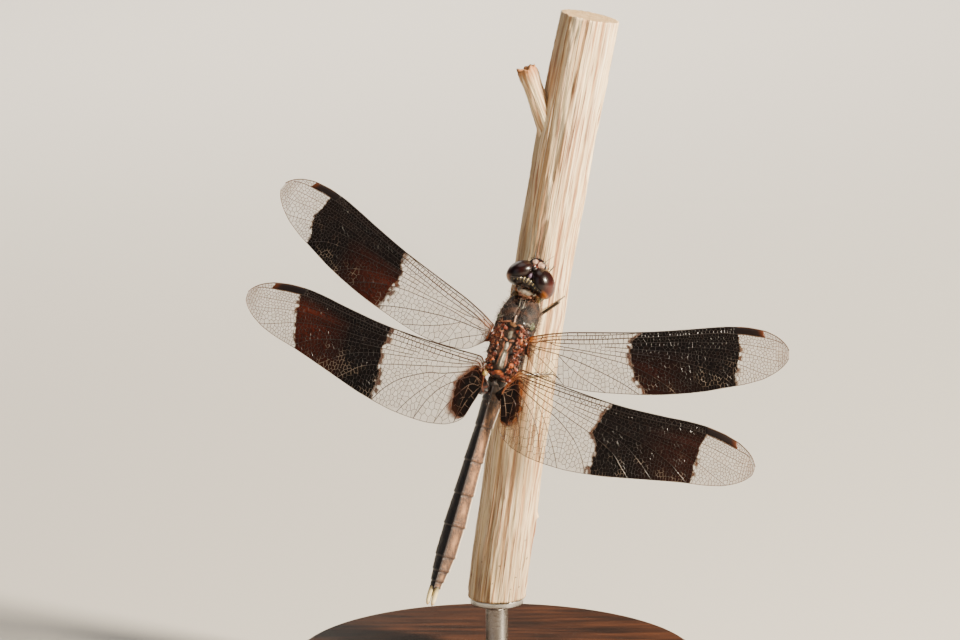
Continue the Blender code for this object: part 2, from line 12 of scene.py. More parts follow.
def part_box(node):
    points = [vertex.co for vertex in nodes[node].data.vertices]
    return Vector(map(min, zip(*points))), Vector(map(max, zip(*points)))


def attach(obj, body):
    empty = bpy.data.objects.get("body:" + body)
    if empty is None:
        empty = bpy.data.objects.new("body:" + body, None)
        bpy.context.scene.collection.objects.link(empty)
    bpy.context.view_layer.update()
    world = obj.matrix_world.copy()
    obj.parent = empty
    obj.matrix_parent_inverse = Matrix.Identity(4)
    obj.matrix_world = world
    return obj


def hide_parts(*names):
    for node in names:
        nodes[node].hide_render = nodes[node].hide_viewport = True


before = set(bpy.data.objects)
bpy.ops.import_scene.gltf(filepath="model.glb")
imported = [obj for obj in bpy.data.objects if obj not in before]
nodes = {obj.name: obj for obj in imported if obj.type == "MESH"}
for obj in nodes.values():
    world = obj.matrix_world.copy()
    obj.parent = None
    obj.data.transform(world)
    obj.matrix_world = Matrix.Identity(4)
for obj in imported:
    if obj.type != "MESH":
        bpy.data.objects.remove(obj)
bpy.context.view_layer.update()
noise.seed_set(4)  # noise_vector follows the clock without a seed
mm = 0.001

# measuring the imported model


def mergedCopy(*names):  # the nodes' own surface with its doubles merged
    work = bmesh.new()
    for name in names:
        work.from_mesh(nodes[name].data)
    bmesh.ops.remove_doubles(work, verts=work.verts[:], dist=0.002 * mm)
    return work


def flatFaces(name):  # (normal, centre) of the node's flat faces, the largest first
    work = mergedCopy(name)
    groups = {}
    for face in work.faces:
        key = tuple(round(value, 2) for value in face.normal)
        groups.setdefault(key, []).append((face.calc_area(), face.normal.copy(), face.calc_center_median()))
    work.free()
    flats = sorted(groups.values(), key=lambda group: -sum(item[0] for item in group))
    found = []
    for group in flats[:4]:
        area = sum(item[0] for item in group)
        normal = sum((item[1] * item[0] for item in group), Vector()).normalized()
        found.append((normal, sum((item[2] * item[0] for item in group), Vector()) / area))
    return found


def pointsOf(*names):
    work = mergedCopy(*names)
    found = np.array([vert.co[:] for vert in work.verts])
    work.free()
    return found


def middleOf(*names):
    return Vector(pointsOf(*names).mean(axis=0))


class Pose:  # a place and three axes; its own units are millimetres
    def __init__(self, origin, xAxis, yAxis, zAxis):
        self.origin = Vector(origin)
        self.axes = Matrix((xAxis, yAxis, zAxis))  # rows
        self.back = self.axes.transposed()

    def local(self, point):
        return self.axes @ (Vector(point) - self.origin) / mm

    def world(self, point):
        return self.origin + self.back @ (Vector(point) * mm)

    def direction(self, vector):
        return self.back @ Vector(vector)

    def localPoints(self, points):
        return (np.asarray(points) - np.array(self.origin)) @ np.array(self.axes).T / mm

    def worldPoints(self, points):
        return np.array(self.origin) + np.asarray(points) @ np.array(self.axes) * mm


def bodyPose():  # x to the insect's right, y towards its head, z out of its back
    (forward, frontEnd), (_, rearEnd) = flatFaces("thorax")[:2]  # the thorax's flat ends
    slope = frontEnd - rearEnd
    up = -(slope - forward * slope.dot(forward)).normalized()
    right = forward.cross(up)
    pose = Pose(rearEnd, right, forward, up)
    pose.origin = pose.world((0, 0, pose.localPoints(pointsOf("thorax"))[:, 2].max()))
    return pose


def headPose():  # from the flats where the eyes meet and under the chin, with its origin between the eyes
    right = flatFaces("eye_left")[0][0]
    down = flatFaces("face")[0][0]
    up = (right * right.dot(down) - down).normalized()
    return Pose(middleOf("eye_left", "eye_right"), right, up.cross(right), up)


segmentNames = sorted(name for name in nodes if name.startswith("abdomen"))


def abdomenPose():  # the same way up, from the middle of the first segment's front end
    tailward = flatFaces(segmentNames[4])[0][0]
    across = middleOf("cercus_right") - middleOf("cercus_left")
    right = (across - tailward * across.dot(tailward)).normalized()
    pose = Pose(flatFaces(segmentNames[0])[1][1], right, -tailward, tailward.cross(right))
    spine = (middleOf("cercus_right") + middleOf("cercus_left")) / 2
    pose.origin = pose.world((pose.local(spine)[0], 0, 0))
    return pose


body = bodyPose()
head = headPose()
tail = abdomenPose()
print("poses measured", [round(value, 3) for value in body.origin / mm])

# the wings' shape


def facing(vector, way):  # the vector, or its opposite if that points this way
    return vector if vector.dot(way) > 0 else -vector


def evened(values, rounds):  # all but the first and last drawn towards their neighbours
    values = np.array(values)
    for _ in range(rounds):
        values[1:-1] = (values[:-2] + 2 * values[1:-1] + values[2:]) / 4
    return values


class Wing:  # share 0..1 runs from root to tip, across 0..1 from the front edge to the rear one
    def __init__(self, name):
        self.name = name
        work = mergedCopy(name)
        points = np.array([vert.co[:] for vert in work.verts])
        middle = points.mean(axis=0)
        span, _, up = (Vector(row) for row in np.linalg.svd(points - middle, full_matrices=False)[2])
        outward = Vector(middle) - middleOf("thorax")
        span = facing(span, outward)
        up = facing(up, body.direction((0, 0, 1)))
        forward = facing(span.cross(up), body.direction((0, 1, 0)))
        self.side = 1 if outward.dot(body.direction((1, 0, 0))) > 0 else -1
        self.pose = Pose(middle, span, forward, up)
        flat = self.pose.localPoints(points)
        self.pose.origin = self.pose.world((flat[:, 0].min(), 0, 0))
        flat[:, 0] -= flat[:, 0].min()
        self.length = flat[:, 0].max()
        self.tree = BVHTree.FromBMesh(work)
        self.readOutline(flat, np.array([[vert.index for vert in edge.verts] for edge in work.edges]))
        work.free()
        self.readHeights()

    def readOutline(self, flat, edges):
        first, last = flat[edges[:, 0]], flat[edges[:, 1]]
        self.shares = 0.0015 + 0.997 * (1 - np.cos(np.linspace(0, pi, 121))) / 2
        lead, trail = [], []
        for place in self.shares * self.length:
            crossing = (first[:, 0] <= place) != (last[:, 0] <= place)
            one, two = first[crossing], last[crossing]
            heights = one[:, 1] + (place - one[:, 0]) / (two[:, 0] - one[:, 0]) * (two[:, 1] - one[:, 1])
            lead.append(heights.max())
            trail.append(heights.min())
        self.lead, self.trail = evened(lead, 3), evened(trail, 3)

    def readHeights(self):  # the middle of the solid's thickness, on a coarse grid
        self.gridShares = np.linspace(0, 1, 48)
        self.gridAcross = np.linspace(0, 1, 13)
        up = self.pose.direction((0, 0, 1))
        rows = []
        for share in self.gridShares:
            row = []
            for across in self.gridAcross:
                x, y = self.flatPoint(min(max(share, 0.004), 0.994), 0.03 + 0.94 * across)
                over = self.tree.ray_cast(self.pose.world((x, y, 9)), -up)[0]
                under = self.tree.ray_cast(self.pose.world((x, y, -9)), up)[0]
                if over is None or under is None:
                    nearest = self.tree.find_nearest(self.pose.world((x, y, 0)))[0]
                    row.append(self.pose.local(nearest)[2])
                else:
                    row.append((self.pose.local(over)[2] + self.pose.local(under)[2]) / 2)
            rows.append(row)
        self.heights = evened(rows, 2)

    def chord(self, share):
        return float(np.interp(share, self.shares, self.lead - self.trail))

    def edgesAt(self, share):  # the front edge and the rear one
        return [float(np.interp(share, self.shares, edge)) for edge in (self.lead, self.trail)]

    def flatPoint(self, share, across):
        lead, trail = self.edgesAt(share)
        return share * self.length, lead + (trail - lead) * across

    def shareAndAcross(self, x, y):
        lead, trail = self.edgesAt(x / self.length)
        return x / self.length, (lead - y) / (lead - trail)

    def level(self, share, across):
        i = min(max(share, 0.0), 1.0) * (len(self.gridShares) - 1)
        j = min(max((across - 0.03) / 0.94, 0.0), 1.0) * (len(self.gridAcross) - 1)
        low, left = min(int(i), len(self.gridShares) - 2), min(int(j), len(self.gridAcross) - 2)
        i, j = i - low, j - left
        near = self.heights[low][left] * (1 - j) + self.heights[low][left + 1] * j
        far = self.heights[low + 1][left] * (1 - j) + self.heights[low + 1][left + 1] * j
        return near * (1 - i) + far * i

    def rootPoint(self, across):
        return self.pose.world((*self.flatPoint(rootShare, across), self.level(rootShare, across)))


wingNames = ("forewing_left", "forewing_right", "hindwing_left", "hindwing_right")
wings = {name: Wing(name) for name in wingNames}
rootShare = 0.004  # just off a wing's root
print("wings measured", {name: round(wing.length, 1) for name, wing in wings.items()})

# node trees


def tone(red, green, blue):  # a colour from everyday 0..255 values
    parts = [value / 255 for value in (red, green, blue)]
    linear = [part / 12.92 if part <= 0.04045 else ((part + 0.055) / 1.055) ** 2.4 for part in parts]
    return (*linear, 1.0)


class Socket:  # a node's output that takes part in sums
    def __init__(self, tree, link):
        self.tree = tree
        self.link = link

    def sum(self, kind, first, second=0.0):
        return self.tree.add("ShaderNodeMath", {"operation": kind}, {0: first, 1: second})

    def top(self, other):
        return self.sum("MAXIMUM", self, other)

    def low(self, other):
        return self.sum("MINIMUM", self, other)

    def size(self):
        return self.sum("ABSOLUTE", self)

    def step(self, start, end):  # 0 below start, 1 above end, smooth between
        sockets = {"Value": self, "From Min": start, "From Max": end}
        return self.tree.add("ShaderNodeMapRange", {"interpolation_type": "SMOOTHSTEP"}, sockets)

    def peak(self, centre, width):  # 1 at the centre, 0 a width away on either side
        return 1.0 - ((self - centre) / width).size().step(0.0, 1.0)


for sign, kind in (("add", "ADD"), ("sub", "SUBTRACT"), ("mul", "MULTIPLY"), ("truediv", "DIVIDE")):
    setattr(Socket, f"__{sign}__", lambda self, other, kind=kind: self.sum(kind, self, other))
    setattr(Socket, f"__r{sign}__", lambda self, other, kind=kind: self.sum(kind, other, self))
Socket.__neg__ = lambda self: self * -1.0


class Tree:
    def __init__(self, tree):
        self.tree = tree

    def put(self, socket, value):  # a link or a plain value, which for a colour is in 0..255
        if isinstance(value, Socket):
            self.tree.links.new(value.link, socket)
        else:
            socket.default_value = tone(*value) if socket.type == "RGBA" else value

    def add(self, kind, settings=None, sockets=None, output=0):
        node = self.tree.nodes.new(kind)
        for name, value in (settings or {}).items():
            if name == "stops":
                self.stops(node.color_ramp.elements, value)
            else:
                setattr(node, name, value)
        for name, value in (sockets or {}).items():
            self.put(node.inputs[name], value)
        return Socket(self, node.outputs[output]) if node.outputs else None

    def stops(self, marks, stops):  # a ramp's (place, colour) pairs
        while len(marks) < len(stops):
            marks.new(0.5)
        for mark, (place, colour) in zip(marks, stops):
            mark.position = place
            mark.color = tone(*colour)


class Finish(Tree):  # one material and the patterns that go into it
    def __init__(self, name, **constants):
        self.material = bpy.data.materials.new(name)
        self.material.use_nodes = True
        super().__init__(self.material.node_tree)
        self.shader = self.tree.nodes["Principled BSDF"]
        for key, value in constants.items():
            self.give(key.replace("_", " "), value)
        self.heights = None

    def give(self, name, value):
        self.put(self.shader.inputs[name], value)

    def stretched(self, where, *scales):
        return self.add("ShaderNodeVectorMath", {"operation": "MULTIPLY"}, {0: where, 1: scales})

    def place(self, x=1.0, y=1.0, z=1.0):  # the object's own place in millimetres, stretched
        return self.stretched(self.add("ShaderNodeTexCoord", {}, {}, "Object"), x / mm, y / mm, z / mm)

    def fleck(self, scale, detail=3.0, where=None):
        sockets = {"Vector": where or self.place(), "Scale": scale, "Detail": detail}
        return self.add("ShaderNodeTexNoise", {}, sockets)

    def cells(self, scale, where=None):
        sockets = {"Vector": where or self.place(), "Scale": scale}
        return self.add("ShaderNodeTexVoronoi", {}, sockets, "Distance")

    def read(self, name, output="Fac"):
        return self.add("ShaderNodeAttribute", {"attribute_name": name}, {}, output)

    def blend(self, factor, first, second):
        return self.add("ShaderNodeMix", {"data_type": "RGBA"}, {0: factor, 6: first, 7: second}, 2)

    def layers(self, base, *coats):  # each coat is a factor and the colour that it brings
        for factor, colour in coats:
            base = self.blend(factor, base, colour)
        return base

    def shade(self, factor, *stops):  # colours along a 0..1 value
        return self.add("ShaderNodeValToRGB", {"stops": stops}, {0: factor})

    def relief(self, height, depth):  # depth in millimetres
        sockets = {"Height": height, "Distance": depth * mm, "Strength": 1.0}
        if self.heights:
            sockets["Normal"] = self.heights
        self.heights = self.add("ShaderNodeBump", {}, sockets)
        self.give("Normal", self.heights)


def mottled(name, scale, detail, first, second, **constants):  # a finish that wavers between two colours
    made = Finish(name, **constants)
    made.give("Base Color", made.blend(made.fleck(scale, detail), first, second))
    return made


class GeoTree(Tree):  # a Geometry Nodes tree with named inputs, ending in a material
    def __init__(self, name, **inputs):
        super().__init__(bpy.data.node_groups.new(name, "GeometryNodeTree"))
        socket = self.tree.interface.new_socket
        for way in ("INPUT", "OUTPUT"):
            socket("Geometry", in_out=way, socket_type="NodeSocketGeometry")
        self.names = {key: socket(key, in_out="INPUT", socket_type="NodeSocket" + kind).identifier
                      for key, kind in inputs.items()}
        self.geometry = self.given("Geometry")

    def given(self, name):
        return self.add("NodeGroupInput", {}, {}, name)

    def named(self, name, kind="FLOAT_VECTOR"):
        return self.add("GeometryNodeInputNamedAttribute", {"data_type": kind}, {"Name": name})

    def finish(self, geometry):
        solid = self.add("GeometryNodeRealizeInstances", {}, {0: geometry})
        sockets = {"Geometry": solid, "Material": self.given("Material")}
        self.add("NodeGroupOutput", {}, {0: self.add("GeometryNodeSetMaterial", {}, sockets)})
        return self

    def run(self, item, **values):  # the object gets the tree's result as its plain mesh
        modifier = item.modifiers.new("grown", "NODES")
        modifier.node_group = self.tree
        for key, value in values.items():
            modifier[self.names[key]] = value
        made = plainMesh(item, preserve_all_data_layers=True)
        item.modifiers.remove(modifier)
        old = item.data
        item.data = made
        bpy.data.meshes.remove(old)


# pieces


def placed(name, mesh):
    item = bpy.data.objects.new(name, mesh)
    bpy.context.scene.collection.objects.link(item)
    return item


def plainMesh(item, **options):  # what the object's modifiers make of it
    bpy.context.view_layer.update()
    graph = bpy.context.evaluated_depsgraph_get()
    return bpy.data.meshes.new_from_object(item.evaluated_get(graph), depsgraph=graph, **options)


def carved(item):  # the same for a passing object, which goes
    made, old = plainMesh(item), item.data
    bpy.data.objects.remove(item)
    bpy.data.meshes.remove(old)
    return made


def meshFrom(work):  # takes over what the bmesh holds
    mesh = bpy.data.meshes.new("surface")
    work.to_mesh(mesh)
    work.free()
    return mesh


def join(work, other):  # adds the other bmesh to the first
    mesh = meshFrom(other)
    work.from_mesh(mesh)
    bpy.data.meshes.remove(mesh)


def pieceFrom(name, points, faces, edges=()):
    mesh = bpy.data.meshes.new(name)
    mesh.from_pydata([tuple(point) for point in points], list(edges), [tuple(face) for face in faces])
    mesh.validate()
    if len(faces):
        mesh.shade_smooth()
    return placed(name, mesh)


markKinds = {1: ("FLOAT", "value"), 3: ("FLOAT_VECTOR", "vector"), 4: ("FLOAT_COLOR", "color")}


def mark(item, name, values):  # a number, vector or colour for each vertex, for the nodes to read
    values = np.asarray(values, dtype=np.float32).ravel()
    kind, field = markKinds[len(values) // len(item.data.vertices)]
    item.data.attributes.new(name, kind, "POINT").data.foreach_set(field, values)


def note(marks, *values):  # one more vertex, its values in the order of the marks
    for kept, value in zip(marks.values(), values):
        kept.append(value)


def wear(item, finish):
    item.data.materials.clear()
    item.data.materials.append(finish.material)


def settle(item, slot, *stoodFor):  # the piece rides on the one body and stands for these nodes
    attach(item, "root")
    if stoodFor:
        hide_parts(*stoodFor)


def fixNormals(item):
    work = bmesh.new()
    work.from_mesh(item.data)
    bmesh.ops.recalc_face_normals(work, faces=work.faces[:])
    work.to_mesh(item.data)
    work.free()


def dress(item, finish, slot, *stoodFor, **marks):  # its marks, its finish and its place in the part
    for name, values in marks.items():
        mark(item, name, values)
    wear(item, finish)
    settle(item, slot, *stoodFor)
    return item


def complete(item, *dressing, **marks):  # the same with its faces turned outwards first
    fixNormals(item)
    return dress(item, *dressing, **marks)


def turns(count):  # angles all the way round
    return [2 * pi * step / count for step in range(count)]


def sheet(rows, columns):  # the faces of a grid of points held row by row
    return [(corner, corner + columns, corner + columns + 1, corner + 1)
            for i in range(rows - 1) for corner in range(i * columns, (i + 1) * columns - 1)]


def slab(rows, columns):  # two such sheets, the upper one first, closed round their rim
    count = rows * columns
    faces = sheet(rows, columns)
    faces = [tuple(reversed(face)) for face in faces] + [tuple(i + count for i in face) for face in faces]
    rim = [i * columns for i in range(rows)] + [(rows - 1) * columns + j for j in range(1, columns)]
    rim += [i * columns + columns - 1 for i in range(rows - 2, -1, -1)] + list(range(columns - 2, 0, -1))
    return faces + [(a, b, b + count, a + count) for a, b in zip(rim, rim[1:] + rim[:1])]


# the wings' veins

acrossForewing = {
    "subcosta": ((0, 0.14), (0.07, 0.06), (0.2, 0.055), (0.33, 0.035), (0.44, 0.004)),
    "radius": ((0, 0.24), (0.07, 0.14), (0.19, 0.13), (0.3, 0.11), (0.44, 0.085), (0.7, 0.09), (0.8, 0.12),
               (0.9, 0.14), (0.975, 0.1)),
    "sectorOne": ((0.055, 0.155), (0.1, 0.19), (0.2, 0.2), (0.44, 0.17), (0.6, 0.19), (0.8, 0.28),
                  (0.95, 0.38)),
    "betweenOne": ((0.62, 0.28), (0.75, 0.36), (0.88, 0.52), (0.96, 0.7)),
    "sectorTwo": ((0.3, 0.24), (0.39, 0.26), (0.57, 0.34), (0.7, 0.47), (0.81, 0.64), (0.88, 0.82),
                  (0.93, 1)),
    "betweenTwo": ((0.34, 0.31), (0.5, 0.4), (0.62, 0.54), (0.72, 0.72), (0.77, 0.9), (0.79, 1)),
    "sectorThree": ((0.09, 0.2), (0.13, 0.26), (0.3, 0.36), (0.42, 0.44), (0.5, 0.56), (0.58, 0.75),
                    (0.64, 1)),
    "media": ((0, 0.3), (0.07, 0.32), (0.19, 0.34), (0.3, 0.43), (0.39, 0.53), (0.47, 0.68), (0.54, 0.88),
              (0.57, 1)),
    "cubitus": ((0, 0.35), (0.07, 0.38), (0.17, 0.48), (0.26, 0.62), (0.36, 0.82), (0.43, 1)),
    "rearCubitus": ((0.12, 0.44), (0.15, 0.58), (0.2, 0.75), (0.26, 0.9), (0.3, 1)),
    "anal": ((0, 0.42), (0.05, 0.6), (0.1, 0.8), (0.14, 1)),
}
acrossHindwing = {
    "subcosta": ((0, 0.05), (0.2, 0.03), (0.39, 0.003)),
    "radius": ((0, 0.09), (0.1, 0.085), (0.21, 0.07), (0.41, 0.065), (0.7, 0.1), (0.9, 0.15), (0.97, 0.1)),
    "sectorOne": ((0.045, 0.095), (0.08, 0.12), (0.2, 0.13), (0.3, 0.125), (0.42, 0.14), (0.6, 0.2),
                  (0.8, 0.3), (0.95, 0.42)),
    "betweenOne": ((0.6, 0.3), (0.75, 0.38), (0.88, 0.55), (0.96, 0.75)),
    "sectorTwo": ((0.28, 0.18), (0.42, 0.22), (0.5, 0.28), (0.65, 0.41), (0.78, 0.62), (0.87, 0.86),
                  (0.91, 1)),
    "betweenTwo": ((0.3, 0.235), (0.45, 0.33), (0.58, 0.48), (0.68, 0.7), (0.73, 0.88), (0.76, 1)),
    "sectorThree": ((0.07, 0.13), (0.12, 0.17), (0.25, 0.24), (0.4, 0.36), (0.5, 0.52), (0.57, 0.74),
                    (0.63, 1)),
    "media": ((0.04, 0.12), (0.1, 0.2), (0.16, 0.25), (0.25, 0.33), (0.37, 0.47), (0.46, 0.65),
              (0.51, 0.86), (0.54, 1)),
    "cubitus": ((0, 0.12), (0.06, 0.22), (0.16, 0.34), (0.21, 0.38), (0.26, 0.47), (0.31, 0.6),
                (0.35, 0.78), (0.38, 1)),
    "rearCubitus": ((0.15, 0.35), (0.19, 0.52), (0.23, 0.72), (0.255, 0.88), (0.27, 1)),
    "analOne": ((0, 0.15), (0.04, 0.27), (0.1, 0.39), (0.15, 0.55), (0.18, 0.75), (0.2, 1)),
    "analTwo": ((0, 0.2), (0.02, 0.32), (0.06, 0.47), (0.1, 0.75), (0.12, 1)),
    "analThree": ((0, 0.28), (0.03, 0.6), (0.05, 1)),
}
veinWidths = {  # thickness in millimetres at the root and at the end, then how far the vein stands up
    "costa": (0.17, 0.12, 0.10), "subcosta": (0.10, 0.09, -0.10), "radius": (0.15, 0.10, 0.13),
    "sectorOne": (0.11, 0.07, -0.07), "betweenOne": (0.07, 0.06, 0.05), "sectorTwo": (0.1, 0.06, -0.06),
    "betweenTwo": (0.09, 0.06, 0.06), "sectorThree": (0.1, 0.06, -0.06), "media": (0.11, 0.06, 0.07),
    "cubitus": (0.12, 0.07, -0.07), "rearCubitus": (0.09, 0.06, 0.05), "anal": (0.09, 0.05, 0.04),
    "analOne": (0.1, 0.06, 0.07), "analTwo": (0.09, 0.05, -0.04), "analThree": (0.08, 0.05, 0.04),
}
wingPlan = {
    "pitch": 0.05,  # the fineness that the cells are worked out at
    "cellSize": ((0, 0.9), (0.12, 0.76), (0.3, 0.54), (0.55, 0.46), (1, 0.38)),  # by share of the span
    "rearStretch": 1.35,  # how much longer than wide the cells beside the rear edge are
    "rounds": 12,  # of evening out the cells
    "frontShrink": 0.85,  # of the cells near the front edge
    "shortest": 0.06,  # cross-veins below this length are left out
    "clearance": 0.07,  # and so are those that stay this near to a long vein
    "crossvein": 0.052,
    "frontCrossvein": 0.082,
    "margin": 0.075,
    "veinSteps": 110,  # along a whole wing
    "marginSteps": 150,
    "pleatWidth": 0.4,
    "tilt": 0.09,  # how far the film tips in each cell, as a slope
    "thickness": 0.03,
    "gridSpan": 220,
    "gridAcross": 58,
    "tipShare": 0.9993,
}


def smoothLine(points, each=12):  # a curve through the points, rounded at every one
    points = [Vector(point) for point in points]
    ends = [points[0] * 2 - points[1], *points, points[-1] * 2 - points[-2]]
    line = []
    for a, b, c, d in zip(ends, ends[1:], ends[2:], ends[3:]):
        for step in range(each):
            t = step / each
            line.append(0.5 * (2 * b + (c - a) * t + (2 * a - 5 * b + 4 * c - d) * t * t
                               + (3 * b - a - 3 * c + d) * t ** 3))
    return line + [points[-1]]


class Veins:  # the long veins of one wing as functions of the share
    def __init__(self, wing):
        self.wing = wing
        table = acrossForewing if wing.name.startswith("fore") else acrossHindwing
        self.lines = {"costa": (np.array([0, 1.0]), np.array([0, 0.0]))}
        for name, points in table.items():
            line = np.array([point[:] for point in smoothLine(points)])
            self.lines[name] = (line[:, 0], np.clip(line[:, 1], 0, 1))

    def at(self, share):  # (across, name) of each vein met at this share
        found = []
        for name, (shares, acrosses) in self.lines.items():
            if shares[0] <= share <= shares[-1]:
                found.append((float(np.interp(share, shares, acrosses)), name))
        return sorted(found)

    def pleat(self, share, across):  # the height of the folds in millimetres
        across = np.asarray(across, dtype=float)
        height = np.zeros_like(across)
        chord = self.wing.chord(share)
        for place, name in self.at(share):
            shares = self.lines[name][0]
            ends = min(share - shares[0], shares[-1] - share) / 0.05
            strength = veinWidths[name][2] * min(max(ends, 0.0), 1.0)
            height += strength * np.exp(-(((across - place) * chord / wingPlan["pleatWidth"]) ** 2))
        return height


def nearestSeed(places, seeds, stretch):
    gaps = ((places[:, None, :] - seeds[None]) * stretch) ** 2
    return gaps.sum(axis=2).argmin(axis=1)


def cellMap(wing, veins, dice):  # each little cell's number on a fine grid, and the cells' middles
    pitch = wingPlan["pitch"]
    columns = np.arange(pitch / 2, wing.length, pitch)
    rows = np.arange(wing.lead.max(), wing.trail.min(), -pitch)
    shares = columns / wing.length
    lead = np.interp(shares, wing.shares, wing.lead)
    trail = np.interp(shares, wing.shares, wing.trail)
    region = np.full((len(rows), len(columns)), -1)
    keys = {}
    for i, share in enumerate(shares):
        found = [item for item in veins.at(share) if item[1] != "costa"]
        names = ["costa", *(name for _, name in found), "rear"]
        ids = np.array([keys.setdefault(pair, len(keys)) for pair in zip(names, names[1:])])
        across = (lead[i] - rows) / (lead[i] - trail[i])
        inside = (across > 0) & (across < 1)
        region[inside, i] = ids[np.searchsorted([place for place, _ in found], across[inside])]
    sizePlaces, sizes = zip(*wingPlan["cellSize"])
    cell = np.full(region.shape, -1)
    middles = []
    for key, number in keys.items():
        where = np.argwhere(region == number)
        if len(where) < 12:
            continue
        places = np.stack([columns[where[:, 1]], rows[where[:, 0]]], axis=1)
        size = np.interp(places[:, 0] / wing.length, sizePlaces, sizes)
        if key[0] in ("costa", "subcosta") or key[1] == "sectorOne":
            size = size * wingPlan["frontShrink"]
        stretch = np.array([wingPlan["rearStretch"] if key[1] == "rear" else 1.0, 1.0])
        count = max(1, round(float((pitch ** 2 / (0.9 * size ** 2)).sum())))
        chance = size ** -2
        picks = dice.choice(len(places), min(count, len(places)), replace=False, p=chance / chance.sum())
        seeds = places[picks]
        weight = size ** -4
        for _ in range(wingPlan["rounds"]):
            nearest = nearestSeed(places, seeds, stretch)
            total = np.bincount(nearest, weight, len(seeds))
            kept = total > 0
            for axis in range(2):
                mean = np.bincount(nearest, weight * places[:, axis], len(seeds))
                seeds[kept, axis] = mean[kept] / total[kept]
        cell[where[:, 0], where[:, 1]] = len(middles) + nearestSeed(places, seeds, stretch)
        middles.extend(seeds)
    return columns, rows, cell, np.array(middles)


def crossVeins(columns, rows, cell):  # the straight sides between the cells, as pairs of flat points
    corners = {}
    corner = np.stack([cell[:-1, :-1], cell[:-1, 1:], cell[1:, :-1], cell[1:, 1:]], axis=2)
    ordered = np.sort(corner, axis=2)
    kinds = 1 + (np.diff(ordered, axis=2) > 0).sum(axis=2)
    for i, j in np.argwhere(kinds >= 3):
        place = ((columns[j] + columns[j + 1]) / 2, (rows[i] + rows[i + 1]) / 2)
        corners.setdefault(tuple(sorted(set(corner[i, j].tolist()))), []).append(place)
    meeting = {}
    for members, places in corners.items():
        for pair in combinations([member for member in members if member >= 0], 2):
            meeting.setdefault(pair, []).append(Vector(np.mean(places, axis=0)))

    def length(side):
        return (side[0] - side[1]).length

    sides = [max(((a, b) for a in places for b in places), key=length) for places in meeting.values()]
    return [side for side in sides if length(side) > wingPlan["shortest"]]


def wingHeight(wing, veins, share, across):
    level = np.array([wing.level(share, value) for value in np.atleast_1d(across)])
    return level + veins.pleat(share, np.atleast_1d(across))


def veinTree():
    tree = GeoTree("vein tubes", Sides="Int", Material="Material")
    curve = tree.add("GeometryNodeMeshToCurve", {}, {"Mesh": tree.geometry})
    ring = {"Resolution": tree.given("Sides"), "Radius": 0.5}
    sockets = {"Curve": curve, "Profile Curve": tree.add("GeometryNodeCurvePrimitiveCircle", {}, ring),
               "Scale": tree.named("width", "FLOAT"), "Fill Caps": True}
    tubes = tree.add("GeometryNodeCurveToMesh", {}, sockets)
    return tree.finish(tree.add("GeometryNodeSetShadeSmooth", {}, {"Geometry": tubes}))


def bandSpan(wing, across):  # where the dark band starts and ends
    return [float(np.interp(across, *zip(*edge))) for edge in bandEdges[wing.name][:2]]


def bandDepth(wing, share, across):  # how far inside the dark band a place is, in millimetres
    start, end = bandSpan(wing, across)
    return min(share - start, end - share) * wing.length


def spotDepth(wing, share, across):  # the same for the dark patch at the wing's root
    reach = float(np.interp(across, *zip(*bandEdges[wing.name][2]), left=-0.02, right=-0.02))
    return (reach - share) * wing.length


def nearOuterEdge(wing, share, across):  # 1 in the half of the band towards the tip
    start, end = bandSpan(wing, across)
    return float(end - share < share - start)


def bandBacklight(wing, share, across):  # painted light: where light comes brown through the band, painted in, full on the left wings and weaker on the right
    start, end = bandSpan(wing, across)
    if wing.name.startswith("fore"):
        glow, rearwards = 1.25 - (share - start) * wing.length / 6.0, (across - 0.28) / 0.3
    else:
        glow, rearwards = 1.3 - (end - share) * wing.length / 5.5, (across - 0.1) / 0.15
    return float(np.clip(glow, 0, 1) * np.clip(rearwards, 0, 1)) * (1.0 if wing.side < 0 else 0.3)


